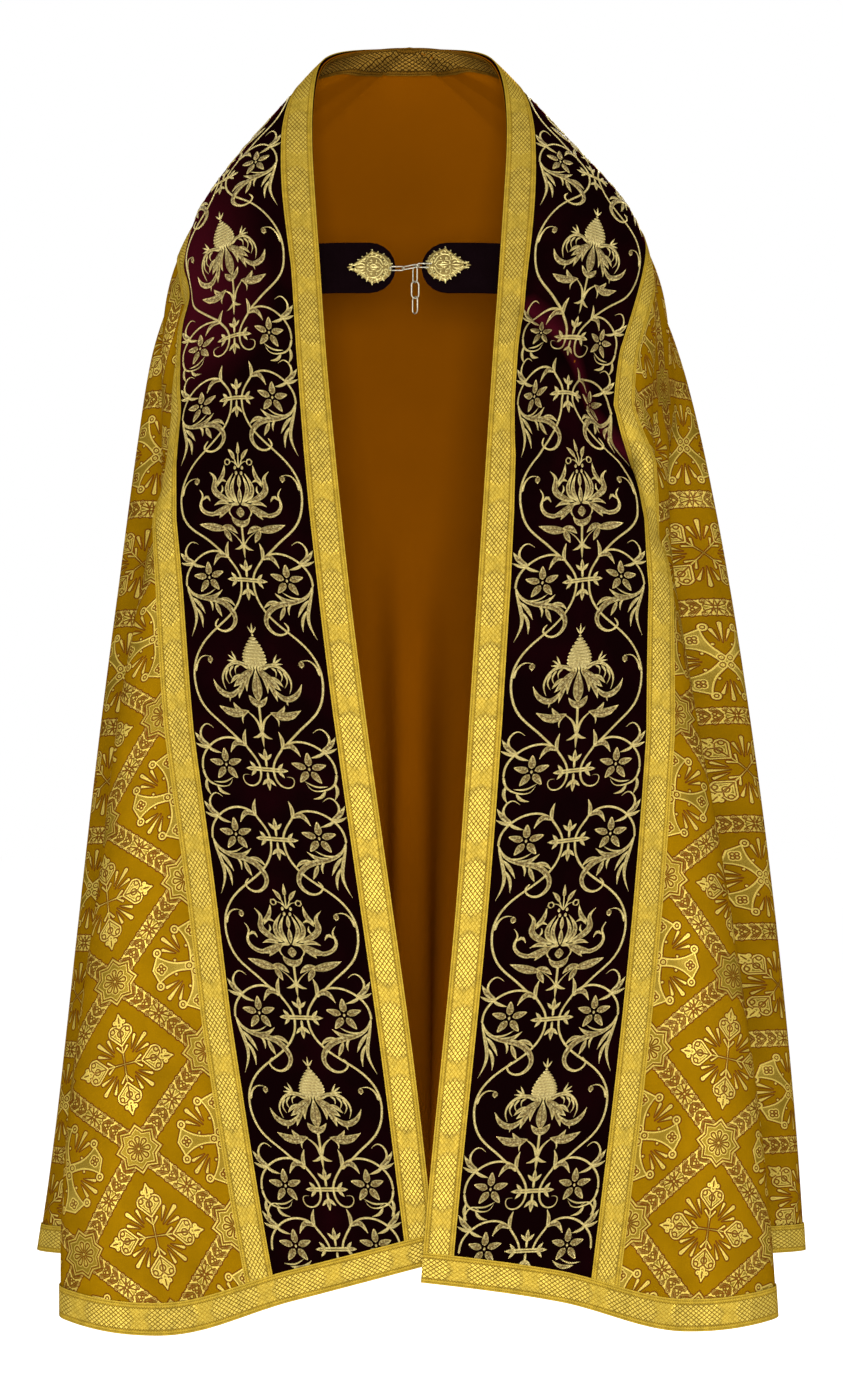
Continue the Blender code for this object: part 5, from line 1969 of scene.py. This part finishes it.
    def build(self, ground: bpy.types.Material, gilt: bpy.types.Material, cloth: bpy.types.Material) -> None:
        """Makes the plate and lays its ornament on it.

        Args:
            ground: the plate's material.
            gilt: the material of what is raised.
            cloth: the material that shows in the holes.
        """
        word = self.side.word
        plate = self.forge(f"leaf_{word}", ground)
        corners = [vertex.co for vertex in plate.data.vertices]
        tree = BVHTree.FromPolygons(corners, [face.vertices[:] for face in plate.data.polygons])
        self.stud(f"thorns_{word}", gilt, tree)
        self.lay(f"chasing_{word}", self.chasing(), self.chasing_rise, gilt, tree)
        self.lay(f"piercings_{word}", self.piercings(), self.piercing_rise, cloth, tree)

    def placed(self, high: float, wide: float, lift: float, tree: BVHTree) -> Vector:
        """The place at a height over the leaf.

        Args:
            high: metres up from the leaf's middle.
            wide: metres out from it, away from the other leaf.
            lift: height over the leaf's face in metres.
            tree: the leaf's faces.

        Returns:
            A place in the frame. Past the rim it has the rim's height.
        """
        middle, up, out = self.planes()
        spot = up * high + Vector((self.side.value, 0, 0)) * wide
        for share in RIM_SHARES:
            hit = tree.ray_cast(middle + spot * share + out * RAY_START, -out)[0]
            if hit is not None:
                break
        return middle + spot + out * ((hit - middle).dot(out) + lift)

    def stud(self, name: str, finish: bpy.types.Material, tree: BVHTree) -> None:
        """Sets a thorn and two flattened beads at each station of the rim.

        Args:
            name: the piece's name.
            finish: its material.
            tree: the leaf's faces.
        """
        bpy.ops.object.select_all(action="DESELECT")
        made = []
        for k in range(self.thorns):
            turn = 2 * math.pi * (k + 0.5) / self.thorns
            foot, tip, inner = (
                self.placed(*(v / 1000 for v in self.rim(turn, share)), lift, tree)
                for share, lift in THORN_SPOTS
            )
            way = tip - foot
            bpy.ops.mesh.primitive_cone_add(
                vertices=8, radius1=THORN_RADII[0], radius2=THORN_RADII[1], depth=way.length,
                location=(foot + tip) / 2, rotation=way.to_track_quat("Z", "Y").to_euler()
            )
            made.append(bpy.context.active_object)
            for place, radius in ((foot + way * TIP_BEAD_PLACE, TIP_BEAD), (inner, INNER_BEAD)):
                bpy.ops.mesh.primitive_uv_sphere_add(segments=10, ring_count=6, radius=radius, location=place)
                bpy.ops.object.mode_set(mode="EDIT")
                bpy.ops.mesh.select_all(action="SELECT")
                bpy.ops.transform.resize(value=(1.0, BEAD_SQUEEZE, 1.0))
                bpy.ops.object.mode_set(mode="OBJECT")
                made.append(bpy.context.active_object)
        for piece in made:
            piece.select_set(True)
        bpy.ops.object.join()
        bpy.ops.object.transform_apply(location=True, rotation=True, scale=True)
        bpy.ops.object.shade_smooth_by_angle(angle=math.radians(THORN_EDGE))
        rim = bpy.context.active_object
        rim.name = name
        rim.data.materials.append(finish)
        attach(rim, ROOT)
        rim.select_set(False)
        log.info("%s: %d faces", rim.name, len(rim.data.polygons))

    def lay(self, name: str, strokes: Iterable[Stroke], rise: float, finish: bpy.types.Material,
            tree: BVHTree) -> None:
        """Makes one piece of strokes and sinks their feet into the leaf.

        Args:
            name: the piece's name.
            strokes: in millimetres, up and out from the leaf's middle.
            rise: height of a stroke's crown in metres.
            finish: its material.
            tree: the leaf's faces.
        """
        work = Needlework(spacing=self.spacing)
        for stroke in strokes:
            work.work(stroke, -SINK, rise + SINK)
        spots, heights, marks = work.finished()
        points = [self.placed(high, wide, lift, tree) for (high, wide), lift in zip(spots, heights)]
        faces = work.faces if self.side is Wearer.RIGHT else [face[::-1] for face in work.faces]
        made = add_piece(name, np.array(points), faces, finish, {"stitch": marks})
        log.info("%s: %d faces", made.name, len(faces))


@dataclass
class Clasp:
    """The clasp: two cloth tabs, two metal leaves and the chain, eye and hook."""

    chain_nodes: tuple[str, ...] = (
        "clasp_eye", "clasp_link", "clasp_hook", "tail_link_1", "tail_link_2", "tail_link_3"
    )
    leaves: tuple[Leaf, ...] = (
        Leaf(Wearer.RIGHT, 42.4, -294.4, 31.3, 23.9, 21.6),
        Leaf(Wearer.LEFT, 42.8, -291.4, 32.1, 22.6, 22.2),
    )

    def build(self) -> None:
        """Dresses the clasp's nodes and chases its leaves."""
        steel = MetalFinish("chain_plate", hue(162, 156, 136), hue(58, 52, 42), 0.36).make()
        ground = MetalFinish("dark_gilt", hue(124, 106, 60), hue(44, 30, 14), 0.45).make()
        gilt = MetalFinish("old_gilt", hue(184, 170, 112), hue(112, 92, 48), 0.38).make()
        strap = StrapFinish().make()
        for name in self.chain_nodes:
            self.paint(name, steel)
        bpy.context.view_layer.update()
        for leaf_plate in self.leaves:
            self.paint(f"clasp_tab_{leaf_plate.side.word}", strap)
            leaf_plate.build(ground, gilt, strap)

    @staticmethod
    def paint(name: str, finish: bpy.types.Material) -> None:
        """Gives a node its finish."""
        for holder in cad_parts[name].material_slots:
            holder.material = finish


@dataclass(frozen=True)
class Lamp:
    """A square soft light: where it stands and looks, its side in metres and its watts."""

    name: str
    place: tuple[float, float, float]
    target: tuple[float, float, float]
    size: float
    power: float

    def build(self) -> None:
        """Hangs the lamp."""
        lamp = bpy.data.lights.new(self.name, "AREA")
        lamp.size = self.size
        lamp.energy = self.power
        made = bpy.data.objects.new(self.name, lamp)
        made.location = self.place
        way = Vector(self.target) - Vector(self.place)
        made.rotation_euler = way.to_track_quat("-Z", "Y").to_euler()
        bpy.context.scene.collection.objects.link(made)


@dataclass(frozen=True)
class Studio:
    """A pale floor, soft light and the camera."""

    eye: tuple[float, float, float] = (0.015, -3.6, -0.795)
    focal: float = 77.55
    film: float = 36.0
    floor_z: float = -2.05
    floor_size: float = 40.0
    white: tuple[float, ...] = (1, 1, 1, 1)
    lamps: tuple[Lamp, ...] = (
        Lamp("front", (0.1, -4.4, -0.7), (0, 0, -0.85), 1.2, 190),
        Lamp("key", (-2.6, -2.4, 0.7), (0, 0, -0.7), 1.6, 50),
        Lamp("fill", (2.8, -2.0, 0.2), (0, 0, -0.8), 1.8, 30),
        Lamp("back", (0.4, 3.4, 0.9), (0, 0, -0.7), 2.0, 110),
    )

    def build(self) -> None:
        """Sets the scene round the cope."""
        self.aim()
        self.lay_floor()
        world = bpy.data.worlds.new("studio")
        world.use_nodes = True
        background = world.node_tree.nodes["Background"]
        background.inputs["Color"].default_value = self.white
        background.inputs["Strength"].default_value = 1.0
        bpy.context.scene.world = world
        for lamp in self.lamps:
            lamp.build()
        bpy.context.scene.view_settings.view_transform = "Standard"

    def aim(self) -> None:
        """Sets up the camera, which looks level along +Y."""
        camera = bpy.data.objects.new("camera", bpy.data.cameras.new("camera"))
        camera.data.lens = self.focal
        camera.data.sensor_width = self.film
        camera.location = self.eye
        camera.rotation_euler = (math.pi / 2, 0, 0)
        bpy.context.scene.collection.objects.link(camera)
        bpy.context.scene.camera = camera

    def lay_floor(self) -> None:
        """Lays the white floor."""
        bpy.ops.mesh.primitive_plane_add(size=self.floor_size, location=(0, 0, self.floor_z))
        floor = bpy.context.active_object
        floor.name = "floor"
        paint = bpy.data.materials.new("pale_floor")
        paint.use_nodes = True
        shader = paint.node_tree.nodes["Principled BSDF"]
        shader.inputs["Base Color"].default_value = self.white
        shader.inputs["Roughness"].default_value = 1.0
        shader.inputs["Specular IOR Level"].default_value = 0.0
        floor.data.materials.append(paint)


def main() -> None:
    """Builds the cope and its studio."""
    logging.basicConfig(level=logging.INFO, format="%(name)s: %(message)s")
    bpy.ops.object.select_all(action="DESELECT")
    Studio().build()
    drape = Drape(CREASES)
    vestment = Vestment(drape)
    vestment.build()
    gold = StitchFinish("gold_stitch").make()
    for side in Wearer:
        Embroidery(drape, side).build(gold)
    Clasp().build()
    log.info("all pieces in place")


if __name__ == "__main__":
    main()
